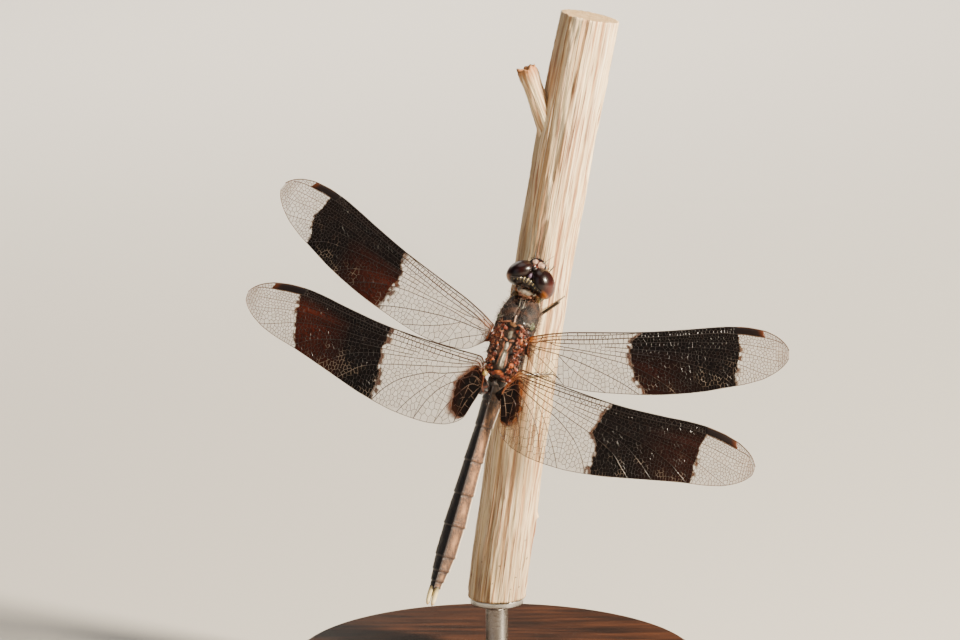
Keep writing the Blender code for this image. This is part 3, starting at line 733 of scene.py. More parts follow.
def veinNet(wing, veins, sides, finish, tree):
    points, edges = [], []
    marks = {name: [] for name in ("width", "share", "spread", "band", "spot")}

    def put(share, across, width):
        across = min(max(across, 0.0), 1.0)
        x, y = wing.flatPoint(share, across)
        points.append(wing.pose.world((x, y, float(wingHeight(wing, veins, share, across)[0]))))
        note(marks, width * mm, share, across, bandDepth(wing, share, across),
             spotDepth(wing, share, across))

    def joinFrom(begin):
        edges.extend((i, i + 1) for i in range(begin, len(points) - 1))

    tip = wingPlan["tipShare"]
    for name, (places, acrosses) in veins.lines.items():
        first, last = max(places[0], 0.0), min(places[-1], tip)
        count = max(8, round((last - first) * wingPlan["veinSteps"]))
        start, end, _ = veinWidths[name]
        begin = len(points)
        for share in np.linspace(first, last, count):
            across = float(np.interp(share, places, acrosses))
            atRoot = min(0.55 + share / 0.11, 1.0)  # the veins start thin
            put(share, across, atRoot * (start + (end - start) * (share - first) / (1 - first)))
        joinFrom(begin)
    begin = len(points)
    for share in (1 - np.cos(np.linspace(0, pi, wingPlan["marginSteps"]))) / 2:
        put(min(share, tip), 1.0, wingPlan["margin"])
    joinFrom(begin)
    trunks = np.array([wing.pose.local(point)[:2] for point in points])

    def gapTo(place):  # how far a flat point is from the long veins beside it
        share, across = wing.shareAndAcross(*place)
        return np.abs(across - np.array([value for value, _ in veins.at(share)])).min() * wing.chord(share)

    for one, two in sides:
        flat = np.array([one[:], (np.array(one[:]) + np.array(two[:])) / 2, two[:]])
        gap = np.sqrt(((flat[:, None] - trunks[None]) ** 2).sum(axis=2)).min(axis=1)
        if min(max(gapTo(place) for place in flat), max(gap)) < wingPlan["clearance"]:
            continue
        for place in (one, two):
            share, across = wing.shareAndAcross(*place)
            stout = wingPlan["frontCrossvein"] if across < 0.13 and share < 0.8 else wingPlan["crossvein"]
            put(share, across, stout)
        edges.append((len(points) - 2, len(points) - 1))
    net = pieceFrom("veins_" + wing.name, points, [], edges)
    for name, values in marks.items():
        mark(net, name, values)
    tree.run(net, Sides=5, Material=finish.material)
    settle(net, "wing_membrane")
    return net


bandEdges = {  # the dark band's inner and outer edges and the dark root patch, as (across, share)
    "forewing_left": (((0.05, 0.452), (0.22, 0.445), (0.32, 0.412), (0.57, 0.415), (0.94, 0.416)),
                      ((0.18, 0.82), (0.59, 0.827), (0.88, 0.791)), ((0, 0), (1, 0))),
    "forewing_right": (((0.01, 0.441), (0.15, 0.4), (0.45, 0.398), (0.77, 0.421), (0.93, 0.455)),
                       ((0.05, 0.806), (0.4, 0.816), (0.9, 0.797)), ((0, 0), (1, 0))),
    "hindwing_left": (((0.08, 0.422), (0.34, 0.421), (0.62, 0.393), (0.89, 0.387)),
                      ((0.15, 0.8), (0.5, 0.786), (0.97, 0.743)),
                      ((0.1, 0.01), (0.16, 0.05), (0.38, 0.094), (0.58, 0.092), (0.75, 0.078), (0.9, 0.048),
                       (0.98, 0.015))),
    "hindwing_right": (((0, 0.417), (0.18, 0.395), (0.43, 0.374), (0.65, 0.401), (0.97, 0.395)),
                       ((0.11, 0.794), (0.32, 0.783), (0.7, 0.776)),
                       ((0.1, 0.02), (0.14, 0.055), (0.38, 0.074), (0.58, 0.077), (0.78, 0.052),
                        (0.86, 0.01))),
}


def membrane(wing, veins, columns, rows, cell, middles, dice, finish):
    tip, wide, deep = wingPlan["tipShare"], wingPlan["gridSpan"], wingPlan["gridAcross"]
    spans = tip * (1 - np.cos(np.linspace(0, pi, wide))) / 2
    spans = 0.25 * spans + 0.75 * np.linspace(0, tip, wide)
    acrosses = np.linspace(0, 1, deep)
    slopes = dice.normal(0, wingPlan["tilt"], (len(middles) + 1, 2))
    chances = dice.random(len(middles) + 1)
    middles = np.vstack([middles, [0, 0]])
    top = []
    marks = {name: [] for name in ("share", "spread", "band", "spot", "chance", "outer", "glow")}
    for share in spans:
        heights = wingHeight(wing, veins, share, acrosses)
        for across, height in zip(acrosses, heights):
            x, y = wing.flatPoint(share, across)
            column = min(max(int(x / wingPlan["pitch"]), 0), len(columns) - 1)
            row = min(max(int(round((rows[0] - y) / wingPlan["pitch"])), 0), len(rows) - 1)
            number = cell[row, column]
            fade = min(share / 0.03, (1 - share) / 0.02, 1.0) if number >= 0 else 0.0
            height += fade * ((x, y) - middles[number]) @ slopes[number]
            top.append((x, y, height))
            note(marks, share, across, bandDepth(wing, share, across), spotDepth(wing, share, across),
                 chances[number], nearOuterEdge(wing, share, across), bandBacklight(wing, share, across))
    top = np.array(top)
    both = wing.pose.worldPoints(np.vstack([top, top - [0, 0, wingPlan["thickness"]]]))
    complete(pieceFrom("film_" + wing.name, both, slab(wide, deep)), finish, "wing_membrane", wing.name,
             **{name: values * 2 for name, values in marks.items()})


stigmaPlan = {
    "fore": (0.79, 0.905),  # shares of the wing's length
    "hind": (0.786, 0.915),
    "steps": 22,
    "columns": (0.0, 0.35, 0.65, 1.0),
    "slant": 0.008,
    "middle": 0.075,  # half its thickness there, in millimetres
    "edge": 0.045,
}


def stigma(wing, veins, finish):  # the thick dark cell on the front edge near the tip
    first, last = stigmaPlan[wing.name[:4]]
    steps, columns, points = stigmaPlan["steps"], stigmaPlan["columns"], []
    for layer in (1, -1):
        for share in np.linspace(first, last, steps):
            low = float(np.interp(share, *veins.lines["radius"]))
            for part in columns:
                slant = share + stigmaPlan["slant"] * (part - 0.5)
                x, y = wing.flatPoint(slant, low * (0.06 + 0.88 * part))
                height = float(wingHeight(wing, veins, slant, low * part)[0])
                bulge = stigmaPlan["middle" if part in columns[1:3] and first < share < last else "edge"]
                points.append((x, y, height - 0.015 + layer * bulge))
    item = pieceFrom("stigma_" + wing.name, wing.pose.worldPoints(points), slab(steps, len(columns)))
    shares = np.repeat(np.linspace(0, 1, steps), len(columns))
    complete(item, finish, "wing_membrane", share=np.tile(shares, 2))


def filmFinish():
    made = Finish("wing film", IOR=1.45, Specular_IOR_Level=0.12, Coat_Roughness=0.12)
    share, spread, chance = made.read("share"), made.read("spread"), made.read("chance")
    outer = made.read("outer")
    jag = (chance - 0.5) * (0.36 - outer * 0.22)
    grain = (made.fleck(2.2, 4.0) - 0.5) * 0.4
    dark = (made.read("band") + jag + grain).step(-0.06, 0.1)
    spot = (made.read("spot") + jag + grain).step(-0.05, 0.12)
    ink = dark.top(spot)
    fringe = (made.read("band") + (chance - 0.45) * 0.9 - outer * 0.3).step(-0.42, 0.0) * (1.0 - dark)
    spotFringe = (made.read("spot") + jag).step(-0.9, 0.0) * (1.0 - spot)
    brown = fringe.top(spotFringe)
    rim = share.step(0.93, 1.0) * 0.6 + (spread - 0.5).size().step(0.47, 0.5) * share.step(0.75, 0.9) * 0.35
    clear = made.blend(chance, (96, 74, 50), (138, 112, 80))
    root = (1.0 - share.step(0.0, 0.11)) * (1.0 - spread.step(0.14, 0.42))
    # painted light: the black band turns brown where the backlight is painted
    black = made.layers((9, 6, 6), (made.read("glow") * 0.9, (54, 18, 8)),
                        (chance.step(0.75, 1.0) * 0.3, (30, 18, 14)),
                        (spot * made.read("spot").step(0.8, 0.0) * 0.5, (44, 18, 6)))
    made.give("Base Color", made.layers(clear, (rim.low(1.0), (122, 66, 20)), (root, (160, 88, 22)),
                                        (brown * 0.95, (64, 26, 7)), (spotFringe * 0.7, (92, 42, 10)),
                                        (ink, black)))
    light = chance * 0.07 + 0.15 + rim * 0.18 + root * 0.3 + brown * 0.6
    made.give("Alpha", light + ink * (0.975 - light))
    made.give("Roughness", ink * 0.2 + 0.26)
    made.give("Coat Weight", (1.0 - ink) * 0.5)
    made.material.surface_render_method = "BLENDED"
    return made


def veinFinish():
    made = Finish("wing veins", Roughness=0.34, Coat_Roughness=0.16, Specular_IOR_Level=0.25)
    share, spread = made.read("share"), made.read("spread")
    shade = made.shade(share, (0.0, (52, 30, 20)), (0.5, (52, 36, 28)), (1.0, (78, 50, 30)))
    root = (1.0 - share.step(0.0, 0.09)) * (1.0 - spread.step(0.12, 0.3))
    inside = made.read("band").step(-0.05, 0.15)
    # painted highlight: a pale sheen on the veins in the rear part of the dark band
    paintedSheen = spread.step(0.45, 0.8) * inside * made.fleck(0.55, 3.0).step(0.5, 0.62)
    made.give("Base Color", made.layers(shade, (root * 0.9, (92, 44, 16)), (inside * 0.9, (16, 10, 9)),
                                        (paintedSheen * 0.32, (150, 130, 112)),
                                        (made.read("spot").step(0.5, 1.5) * 0.45, (134, 112, 94))))
    made.give("Coat Weight", inside * 0.3 + 0.2)
    return made


def stigmaFinish():
    made = Finish("wing stigma", Roughness=0.45, Coat_Weight=0.06, Specular_IOR_Level=0.2)
    made.give("Base Color", made.shade(made.read("share"), (0.0, (12, 6, 6)), (0.8, (20, 10, 8)),
                                       (1.0, (76, 36, 13))))
    return made


film = filmFinish()
veinSurface = veinFinish()
stigmaSurface = stigmaFinish()
veinTubes = veinTree()
for name, wing in wings.items():
    dice = np.random.default_rng(11 + wingNames.index(name))
    veins = Veins(wing)
    columns, rows, cell, middles = cellMap(wing, veins, dice)
    sides = crossVeins(columns, rows, cell)
    membrane(wing, veins, columns, rows, cell, middles, dice, film)
    net = veinNet(wing, veins, sides, veinSurface, veinTubes)
    stigma(wing, veins, stigmaSurface)
    print(name, "has", len(middles), "cells and", len(net.data.polygons), "faces of veins")

# the perch and its stand

perchPlan = {
    "around": 150,
    "along": 270,
    "fibre": 0.17,  # how deep the lengthwise grain is
    "fineGrain": 0.09,
    "swell": 0.16,
    "plain": (4, 46),  # the heights between which the stem is measured
    "footStraight": 3.0,
    "footCaps": (0.25, 0.7, 0.93),  # the rings over the stem's two ends, as shares of its radius
    "topCaps": (0.97, 0.8, 0.55, 0.3, 0.12),
    "nubHeight": 22.2,
    "nub": 0.42,  # how far the small bump low on the right stands out
    "stubAbove": 55,  # the height that the broken stub is looked for over
    "stubLength": 11.5,
    "stubRows": 70,
    "stubSides": 64,
    "stubCap": 3,  # rings over its broken end
}


def perchAxis():  # the stem's middle line as a curve x(z), its radius, its foot and its top
    work = mergedCopy("stand_perch")
    tree = BVHTree.FromBMesh(work)
    work.free()
    heights, middles, halves = [], [], []  # in millimetres
    low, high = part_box("stand_perch")
    for z in low.z + np.linspace(*perchPlan["plain"], 16) * mm:
        left, right = (tree.ray_cast(Vector((-0.1 * way, 0, z)), Vector((way, 0, 0)))[0].x / mm
                       for way in (1, -1))
        heights.append(z / mm)
        middles.append((left + right) / 2)
        halves.append((right - left) / 2)
    line = np.polyfit(heights, middles, 2)
    return line, float(np.mean(halves)) * 0.985, low.z / mm, high.z / mm


def stub(line, radius):  # the side stub's root and tip, in millimetres
    points = pointsOf("stand_perch") / mm
    far = np.abs(points[:, 0] - np.polyval(line, points[:, 2])) > radius * 1.12
    far &= points[:, 2] > perchPlan["stubAbove"]
    far &= points[:, 0] < np.polyval(line, points[:, 2])
    points = points[far]
    tip = points[points[:, 2] > points[:, 2].max() - 1.6].mean(axis=0)
    foot = tip[2] - perchPlan["stubLength"]
    return np.array([np.polyval(line, foot), tip[1] * 0.5, foot]), tip


def grainNoise(place, stretch, scale):
    return noise.fractal((place[0] * scale, place[1] * scale, place[2] * scale / stretch), 0.9, 2.0, 4)


def stemPoints():
    line, radius, low, high = perchAxis()
    topMiddle = high - radius * 0.19
    points, grain, ends = [], [], []
    rings = list(np.linspace(low, topMiddle, perchPlan["along"]))
    rings = [(low, share) for share in perchPlan["footCaps"]] + [(height, 1.0) for height in rings]
    rings += [(topMiddle, share) for share in perchPlan["topCaps"]]
    for height, share in rings:
        slope = np.polyval(np.polyder(line), height) * min((height - low) / perchPlan["footStraight"], 1.0)
        side = Vector((1.0, 0.0, -slope)).normalized()
        middle = Vector((np.polyval(line, height), 0.0, height))
        cut = 1.0 if share < 1.0 else 0.0
        for turn in turns(perchPlan["around"]):
            grainPlace = Vector((cos(turn) * radius, sin(turn) * radius, height))
            ridge = grainNoise(grainPlace, 22.0, 0.75) * perchPlan["fibre"]
            ridge += grainNoise(grainPlace + Vector((9, 3, 0)), 14.0, 2.2) * perchPlan["fineGrain"]
            ridge += noise.noise(grainPlace * 0.13) * perchPlan["swell"]
            flakePlace = Vector((grainPlace.x * 0.9, grainPlace.y * 0.9, height * 0.16))
            flake = noise.noise(flakePlace + Vector((4, 7, 1)))
            ridge += 0.09 * min(max((flake - 0.12) * 12, 0.0), 1.0)
            around = cos(turn) * side + sin(turn) * Vector((0, 1, 0))
            at = middle + around * (radius - 0.17 + ridge) * share
            nub = Vector((cos(turn), sin(turn), (height - perchPlan["nubHeight"]) / radius))
            nub = (nub - Vector((0.98, -0.2, 0))).length
            at += around * perchPlan["nub"] * exp(-((nub / 0.1) ** 2))
            if cut:
                at.z += 0.10 * noise.noise(Vector((at.x, at.y, 5)) * 2.3) * (1 if height > 40 else 0)
            points.append(at)
            grain.append((grainPlace.x * max(share, 0.2), grainPlace.y * max(share, 0.2), height))
            ends.append(cut * (1.0 - share * 0.3) if share < 0.97 else 0.0)
    return points, grain, ends, len(rings)


def closedTube(count, around, first=0):  # faces of rings that close on themselves, with fans over both ends
    faces = []
    for i in range(first, first + (count - 1) * around, around):
        for j in range(around):
            a, b = i + j, i + (j + 1) % around
            faces.append((a, b, b + around, a + around))
    last = first + (count - 1) * around
    return faces + [tuple(reversed(range(first, first + around))), tuple(range(last, last + around))]


def buildPerch(finish):
    points, grain, ends, count = stemPoints()
    faces = closedTube(count, perchPlan["around"])
    crowns = [0.0] * len(points)
    root, tip = stub(*perchAxis()[:2])
    rows, sides, cap = perchPlan["stubRows"], perchPlan["stubSides"], perchPlan["stubCap"]
    first = len(points)
    lean = Vector(tip - root)
    length = lean.length
    lean.normalize()
    across = lean.cross(Vector((0, 1, 0))).normalized()
    deep = across.cross(lean)
    for i in range(rows + cap):
        part = min(i / (rows - 1), 1.0)
        inward = max(i - rows + 1, 0) / 3.4
        width = 1.62 - 0.62 * part ** 0.7 + 0.5 * exp(-part * 7) + 0.16 * exp(-((part - 0.93) / 0.09) ** 2)
        for turn in turns(sides):
            place = Vector((cos(turn) * width, sin(turn) * width, part * length + 30))
            rough = grainNoise(place, 7.0, 1.1) * 0.13
            crown = min(max((part - 0.88) / 0.1, 0.0), 1.0)  # the jagged broken end
            jag = noise.noise(Vector((cos(turn) * 1.7, sin(turn) * 1.7, 2.2)))
            reach = part * length + crown * (0.55 * jag - 0.2)
            size = (width + rough + crown * 0.1 * noise.noise(place * 2.5)) * (1 - inward)
            reach -= inward * 0.55 - 0.25 * inward * noise.noise(place * 3.0)
            points.append(Vector(root) + lean * reach + (across * cos(turn) + deep * sin(turn)) * size)
            grain.append(place)
            ends.append(0.0)
            crowns.append(crown)
    faces += closedTube(rows + cap, sides, first)
    complete(pieceFrom("perch_stem", [point * mm for point in points], faces), finish,
             "perch_bark", "stand_perch", grain=grain, cut=ends, crown=crowns)


def barkFinish():
    made = Finish("dry stem", Roughness=0.82)
    grain = made.read("grain", "Vector")
    fine = made.stretched(grain, 3.4, 3.4, 0.13)
    wide = made.fleck(1.5, 5.0, made.stretched(grain, 1.0, 1.0, 0.035))
    thin = made.fleck(1.3, 4.0, fine)
    patch = made.fleck(1.0, 3.0, made.stretched(grain, 0.5, 0.5, 0.05))
    base = made.shade(wide, (0.30, (128, 84, 56)), (0.42, (196, 156, 112)), (0.52, (232, 208, 166)),
                      (0.62, (206, 168, 130)), (0.74, (246, 232, 198)))
    height = made.add("ShaderNodeSeparateXYZ", {}, {0: grain}, 2)
    # black specks low on the stem stand for small holes: painted shade, as no hole is cut
    holeShade = made.fleck(1.5, 3.0, grain).step(0.69, 0.72) * (1.0 - height.step(13.0, 24.0))
    broken = made.blend(made.fleck(2.4, 3.0, grain), (196, 122, 58), (120, 70, 36))
    base = made.layers(base, (thin.step(0.52, 0.66) * 0.85, (132, 84, 60)),
                       (thin.step(0.46, 0.30) * 0.6, (250, 236, 204)),
                       (patch.step(0.5, 0.66) * 0.5, (138, 112, 88)),
                       (made.cells(1.6, fine).step(0.16, 0.05) * patch.step(0.4, 0.6) * 0.75, (74, 48, 34)),
                       (holeShade, (24, 16, 14)), (made.read("crown") * 0.8, broken))
    cut = made.read("cut")
    rings = made.shade(cut.sum("SINE", cut * 40.0) * 0.2 + 0.5, (0.0, (206, 176, 130)),
                       (1.0, (176, 138, 92)))
    made.give("Base Color", made.blend(cut.step(0.0, 0.1), base, rings))
    made.relief(thin, 0.22)
    made.relief(wide, 0.14)
    return made


def turned(name, profile, steps, slot, finish, *stoodFor):  # (radius, height) in mm, from the bottom up
    points = []
    for radius, height in profile:
        for turn in turns(steps):
            points.append((radius * cos(turn) * mm, radius * sin(turn) * mm, height * mm))
    item = pieceFrom(name, points, closedTube(len(profile), steps))
    fixNormals(item)
    for edge in item.data.edges:
        edge.use_edge_sharp = False
    item.data.set_sharp_from_angle(angle=radians(38))
    dress(item, finish, slot, *stoodFor)


def profileOf(name):  # the turned node's outline, read off its own points
    levels = {}
    for x, y, height in pointsOf(name) / mm:
        levels.setdefault(round(float(height), 1), []).append(round(float(sqrt(x * x + y * y)), 1))
    return [(max(radii), height) for height, radii in sorted(levels.items())]


def bevelled(profile, cut=0.35, rounds=4):  # each corner of the outline replaced by a small arc
    result = [profile[0]]
    for before, corner, after in zip(profile, profile[1:], profile[2:]):
        corner, before, after = Vector(corner), Vector(before), Vector(after)
        reach = min(cut, (before - corner).length * 0.45, (after - corner).length * 0.45)
        start = corner + (before - corner).normalized() * reach
        end = corner + (after - corner).normalized() * reach
        for step in range(rounds + 1):
            t = step / rounds
            point = start * (1 - t) ** 2 + corner * 2 * t * (1 - t) + end * t ** 2
            result.append((point.x, point.y))
    return result + [profile[-1]]


def darkWood():
    made = Finish("dark turned wood", Roughness=0.5, Specular_IOR_Level=0.25)
    grain = made.fleck(6.0, 6.0, made.place(0.02, 0.16, 0.16))
    base = made.shade(grain, (0.32, (30, 16, 9)), (0.5, (52, 28, 15)), (0.66, (74, 42, 24)))
    pores = made.fleck(1.0, 2.0, made.place(0.5, 5.0, 5.0)).step(0.62, 0.72)
    made.give("Base Color", made.blend(pores * 0.5, base, (26, 15, 10)))
    made.relief(pores, 0.02)
    return made


def brushedRod():
    made = Finish("brushed rod", Metallic=1.0, Roughness=0.3)
    hair = made.fleck(2.0, 3.0, made.place(0.6, 0.6, 14.0))
    made.give("Base Color", (188, 184, 178))
    made.give("Roughness", hair * 0.18 + 0.2)
    made.relief(hair, 0.01)
    return made


standPlan = {
    "baseSteps": 192,
    "rodSteps": 96,
    "baseEdge": 0.5,  # the bevels, in millimetres
    "rodEdge": 0.14,
    "flatTop": 12.0,  # the radius within which the base's top has no more rings
    "baseMiddle": 0.3,
    "rodMiddle": 0.2,
}


def buildStand():
    rim, centre = profileOf("stand_base"), standPlan["baseMiddle"]
    low, high = rim[0][1], rim[-1][1]
    profile = [(centre, low), *bevelled(rim, standPlan["baseEdge"]), (standPlan["flatTop"], high),
               (centre, high)]
    turned("base_disc", profile, standPlan["baseSteps"], "base_wood", darkWood(), "stand_base")
    rod, centre = profileOf("stand_rod"), standPlan["rodMiddle"]
    profile = bevelled([(centre, rod[0][1]), *rod, (centre, rod[-1][1])], standPlan["rodEdge"])
    turned("rod_and_plates", profile, standPlan["rodSteps"], "rod_steel", brushedRod(), "stand_rod")


buildPerch(barkFinish())
buildStand()
print("perch and stand built")

# the abdomen

tailPlan = {
    "around": 64,
    "inset": 0.985,
    "keel": 0.07,
    "sideRidge": 0.07,
    "groove": 0.065,
    "rearRim": 0.05,
    "tongue": ((0.05, 0.94), (0.12, 0.84), (0.22, 0.7), (0.36, 0.56), (0.55, 0.45), (0.75, 0.34), (0.9, 0.2),
               (0.95, 0.06)),  # past the last segment, as (distance, width)
    "ringPitch": 0.16,
    "creased": (1, 2, 3),  # the segments with a cross-crease near their front
}


def tailRings():  # (y, half width, height of the side edge, back, belly) at both ends of each segment
    rings = []
    for name in segmentNames:
        points = tail.localPoints(pointsOf(name))
        for y in (points[:, 1].max(), points[:, 1].min()):
            ring = points[np.abs(points[:, 1] - y) < 0.12]
            widest = ring[np.abs(ring[:, 0]).argmax()]
            rings.append((y, abs(widest[0]), widest[2], ring[:, 2].max(), ring[:, 2].min()))
    return np.array(rings)


def tailOutline(share, ring):  # a point of the cross-section, share 0..1 from the keel round the right side
    half, edge, back, belly = ring
    side = 1 if share <= 0.5 else -1
    part = share * 2 if share <= 0.5 else (1 - share) * 2  # 0 keel, 1 under the belly
    if part < 0.5:
        t = part / 0.5
        slopeOut = sin(t * pi / 2 * 0.92) / sin(pi / 2 * 0.92)
        x = half * (0.42 * t + 0.58 * slopeOut)
        z = back + (edge - back) * (0.62 * t + 0.38 * t ** 2)
    else:
        t = (part - 0.5) / 0.5
        x = half * cos(t * pi / 2) ** 0.75 if t < 1 else 0.0
        z = edge + (belly - edge) * sin(t * pi / 2) ** 0.9
    return side, side * x, z, part


def buildTail(finish):
    rings = tailRings()
    starts, ends = rings[0::2], rings[1::2]
    places = []
    for number, (start, end) in enumerate(zip(starts, ends)):
        length = start[0] - end[0]
        steps = max(8, round(length / tailPlan["ringPitch"]))
        for step in range(steps + 1):
            t = step / steps
            places.append((number, t, start[0] - t * length, start[1:] * (1 - t) + end[1:] * t, 1.0))
    places += [(len(starts) - 1, 1.0, ends[-1][0] - further, ends[-1][1:], narrow)
               for further, narrow in tailPlan["tongue"]]
    points = []
    marks = {name: [] for name in ("under", "inSegment", "along", "flank", "ring", "keel", "edge")}
    total = rings[0][0] - rings[-1][0]
    for number, t, y, ring, narrow in places:
        length = starts[number][0] - ends[number][0]
        fromFront, fromRear = t * length, (1 - t) * length
        dip = tailPlan["groove"] * (exp(-fromFront / 0.07) + exp(-fromRear / 0.035))
        rim = tailPlan["rearRim"] * exp(-((fromRear - 0.14) / 0.1) ** 2)
        waist = 0.02 * sin(pi * t)
        crease = 0.03 * exp(-((fromFront - 0.62) / 0.05) ** 2) if number in tailPlan["creased"] else 0.0
        middle = (ring[2] + ring[3]) / 2
        scale = tailPlan["inset"] * (1 - (dip + crease - rim + waist) / max(ring[0], 0.5))
        joint = 1.0 if narrow < 1 else max(exp(-fromFront / 0.045), exp(-fromRear / 0.03))
        for j in range(tailPlan["around"]):
            side, x, z, part = tailOutline(j / tailPlan["around"], ring)
            x, z = x * scale * narrow, middle + (z - middle) * scale * narrow - 0.12 * (1 - narrow)
            keel = exp(-(x / 0.085) ** 2) if part < 0.3 else 0.0
            z += tailPlan["keel"] * keel * (1 - exp(-fromFront / 0.12)) - 0.03
            ridge = exp(-((part - 0.5) / 0.035) ** 2)
            nick = 1 - 0.75 * exp(-(fromRear / 0.12) ** 2)
            x += side * tailPlan["sideRidge"] * ridge * nick
            wrinkle = noise.fractal(Vector((x * 2.2, y * 1.3, z * 2.2)), 0.9, 2.0, 3) * 0.022
            x *= 1 + wrinkle
            z += wrinkle * 0.6
            points.append((x, y, z))
            # the last mark, edge, places the painted highlight along the side ridges
            note(marks, part, t, (rings[0][0] - y) / total, side * min(part * 2, 1.0), joint,
                 exp(-(x / 0.07) ** 2) if part < 0.25 else 0.0, exp(-((part - 0.5) / 0.022) ** 2))
    item = pieceFrom("abdomen_skin", tail.worldPoints(points), closedTube(len(places), tailPlan["around"]))
    return complete(item, finish, "abdomen_shell", *segmentNames, **marks)


def tailFinish():
    made = Finish("abdomen shell", Roughness=0.55)
    flank, under, along = made.read("flank"), made.read("under"), made.read("along")
    mottle = made.fleck(1.7, 5.0)
    speck = made.fleck(6.0, 4.0, made.place(1.0, 1.0, 0.55))
    cloud = made.fleck(1.6, 4.0, made.place(1.0, 1.0, 0.35))
    black = made.blend(mottle, (11, 11, 15), (26, 22, 25))
    # painted highlight: a pale lengthwise streak in the middle of each segment's flank, layered into the
    # bloom colour
    streakHighlight = flank.peak(0.52, 0.3) * made.read("inSegment").peak(0.5, 0.46) * cloud.step(0.3, 0.55)
    bloomAndHighlight = made.layers((62, 37, 20), (speck.step(0.4, 0.62), (112, 74, 44)),
                        (cloud.step(0.52, 0.38) * 0.8, (46, 26, 15)),
                        (along.step(0.35, 0.8) * 0.35, (66, 42, 26)), (streakHighlight * 0.8, (164, 118, 80)),
                        (along.step(0.12, 0.0) * 0.6, (120, 112, 108)))
    # the bloom is laid full on the right face and at 0.15 on the left: partly the bloom's own colour, partly
    # painted light on the right face and painted shade on the left
    right = flank.step(0.05, 0.2) * (1.0 - under.step(0.52, 0.6))
    left = (-flank).step(0.2, 0.5) * (1.0 - under.step(0.5, 0.58)) * 0.15
    bloomAndSideLight = (right * (0.62 + mottle * 0.5) + left * mottle.step(0.4, 0.7)).low(1.0)
    made.give("Base Color", made.layers(black, (bloomAndSideLight * (1.0 - along.step(0.82, 1.0) * 0.35), bloomAndHighlight),
                                        # painted highlight: a near-white line along both side ridges
                                        (made.read("edge") * 0.95, (240, 226, 206)),
                                        (made.read("keel") * 0.5, (64, 50, 46)),
                                        (made.read("ring") * 0.75, (34, 20, 15))))
    made.give("Roughness", 0.62 - (1.0 - bloomAndSideLight) * 0.22)
    made.relief(speck, 0.03)
    made.relief(made.cells(7.0), 0.02)
    return made


tailSkin = buildTail(tailFinish())


hornPlan = {
    "rings": 25,
    "around": 16,
    "inside": 0.34,  # how far it starts inside the abdomen
    "bend": 0.17,
}


def horn(side, finish):  # a tapered, slightly waisted appendage along the node's own length
    node = "cercus_" + side
    points = pointsOf(node)
    middle = points.mean(axis=0)
    along = facing(np.linalg.svd(points - middle, full_matrices=False)[2][0], tail.direction((0, -1, 0)))
    reach = (points - middle) @ along / mm
    beside = (points - middle) - np.outer((points - middle) @ along, along)
    thick = float(np.sqrt((beside ** 2).sum(axis=1)).max()) / mm
    one = Vector(along).cross(Vector(tail.direction((0, 0, 1)))).normalized()
    two = one.cross(Vector(along))
    inward = Vector(tail.direction((-1 if tail.localPoints(middle[None, :])[0][0] > 0 else 1, 0, 0)))
    start = reach.min() - hornPlan["inside"]
    rings, around = hornPlan["rings"], hornPlan["around"]
    made = []
    for i in range(rings):
        t = i / (rings - 1)
        width = thick * (0.78 + 0.24 * sin(pi * (0.15 + 0.75 * t) ** 0.9)) * (1 - t ** 11 * 0.85)
        at = Vector(middle) / mm + Vector(along) * (start + (reach.max() - start) * t)
        at += inward * (hornPlan["bend"] * t ** 1.5)
        for turn in turns(around):
            made.append((at + (one * cos(turn) + two * sin(turn)) * width) * mm)
    complete(pieceFrom("cercus_shell_" + side, made, closedTube(rings, around)), finish, "pale_horn", node,
             share=np.repeat(np.linspace(0, 1, rings), around))


hornFinish = Finish("pale horn", Roughness=0.42)
hornShade = hornFinish.shade(hornFinish.read("share"), (0.0, (30, 20, 16)), (0.3, (196, 176, 128)),
                             (0.75, (224, 206, 160)), (0.94, (196, 164, 112)),
                             (1.0, (96, 66, 40)))
hornFinish.give("Base Color", hornShade)
horn("left", hornFinish)
horn("right", hornFinish)
print("abdomen built with", len(tailSkin.data.polygons), "faces")

# the lumpy skins of the thorax and the head


def smoothCopy(name, pose, grow):  # the node's surface rounded off, in the pose's own millimetres
    item = placed("rounding", meshFrom(mergedCopy(name)))
    rounding = item.modifiers.new("round", "SUBSURF")
    rounding.levels = rounding.render_levels = 2
    made = carved(item)
    local = pose.localPoints(arrays(made)[0])
    middle = (local.max(axis=0) + local.min(axis=0)) / 2
    made.vertices.foreach_set("co", (middle + (local - middle) * grow).ravel())
    result = bmesh.new()
    result.from_mesh(made)
    bpy.data.meshes.remove(made)
    return result


def spin(turn, tilt):
    return Matrix.Rotation(radians(turn), 3, "Z") @ Matrix.Rotation(radians(tilt), 3, "Y")


def addBall(work, place, sizes, turn, tilt, wobble=0.0):
    shape = spin(turn, tilt) @ Matrix.Diagonal(Vector(sizes))
    ball = bmesh.ops.create_icosphere(work, subdivisions=3, radius=1.0)
    for vert in ball["verts"]:
        uneven = 1 + wobble * noise.noise(vert.co * 1.5 + Vector(place) * 4)
        vert.co = Vector(place) + shape @ (vert.co * uneven)


def remeshed(work, plan):  # one closed skin over everything in the bmesh
    item = placed("lumps", meshFrom(work))
    merge = item.modifiers.new("skin", "REMESH")
    merge.mode = "VOXEL"
    merge.voxel_size = plan["voxel"]
    relax = item.modifiers.new("relax", "SMOOTH")
    relax.factor = 0.5
    relax.iterations = plan["smoothing"]
    return carved(item)


def arrays(mesh):  # the places and the normals of its points
    points, normals = np.empty((2, len(mesh.vertices) * 3))
    mesh.vertices.foreach_get("co", points)
    mesh.vertices.foreach_get("normal", normals)
    return points.reshape(-1, 3), normals.reshape(-1, 3)


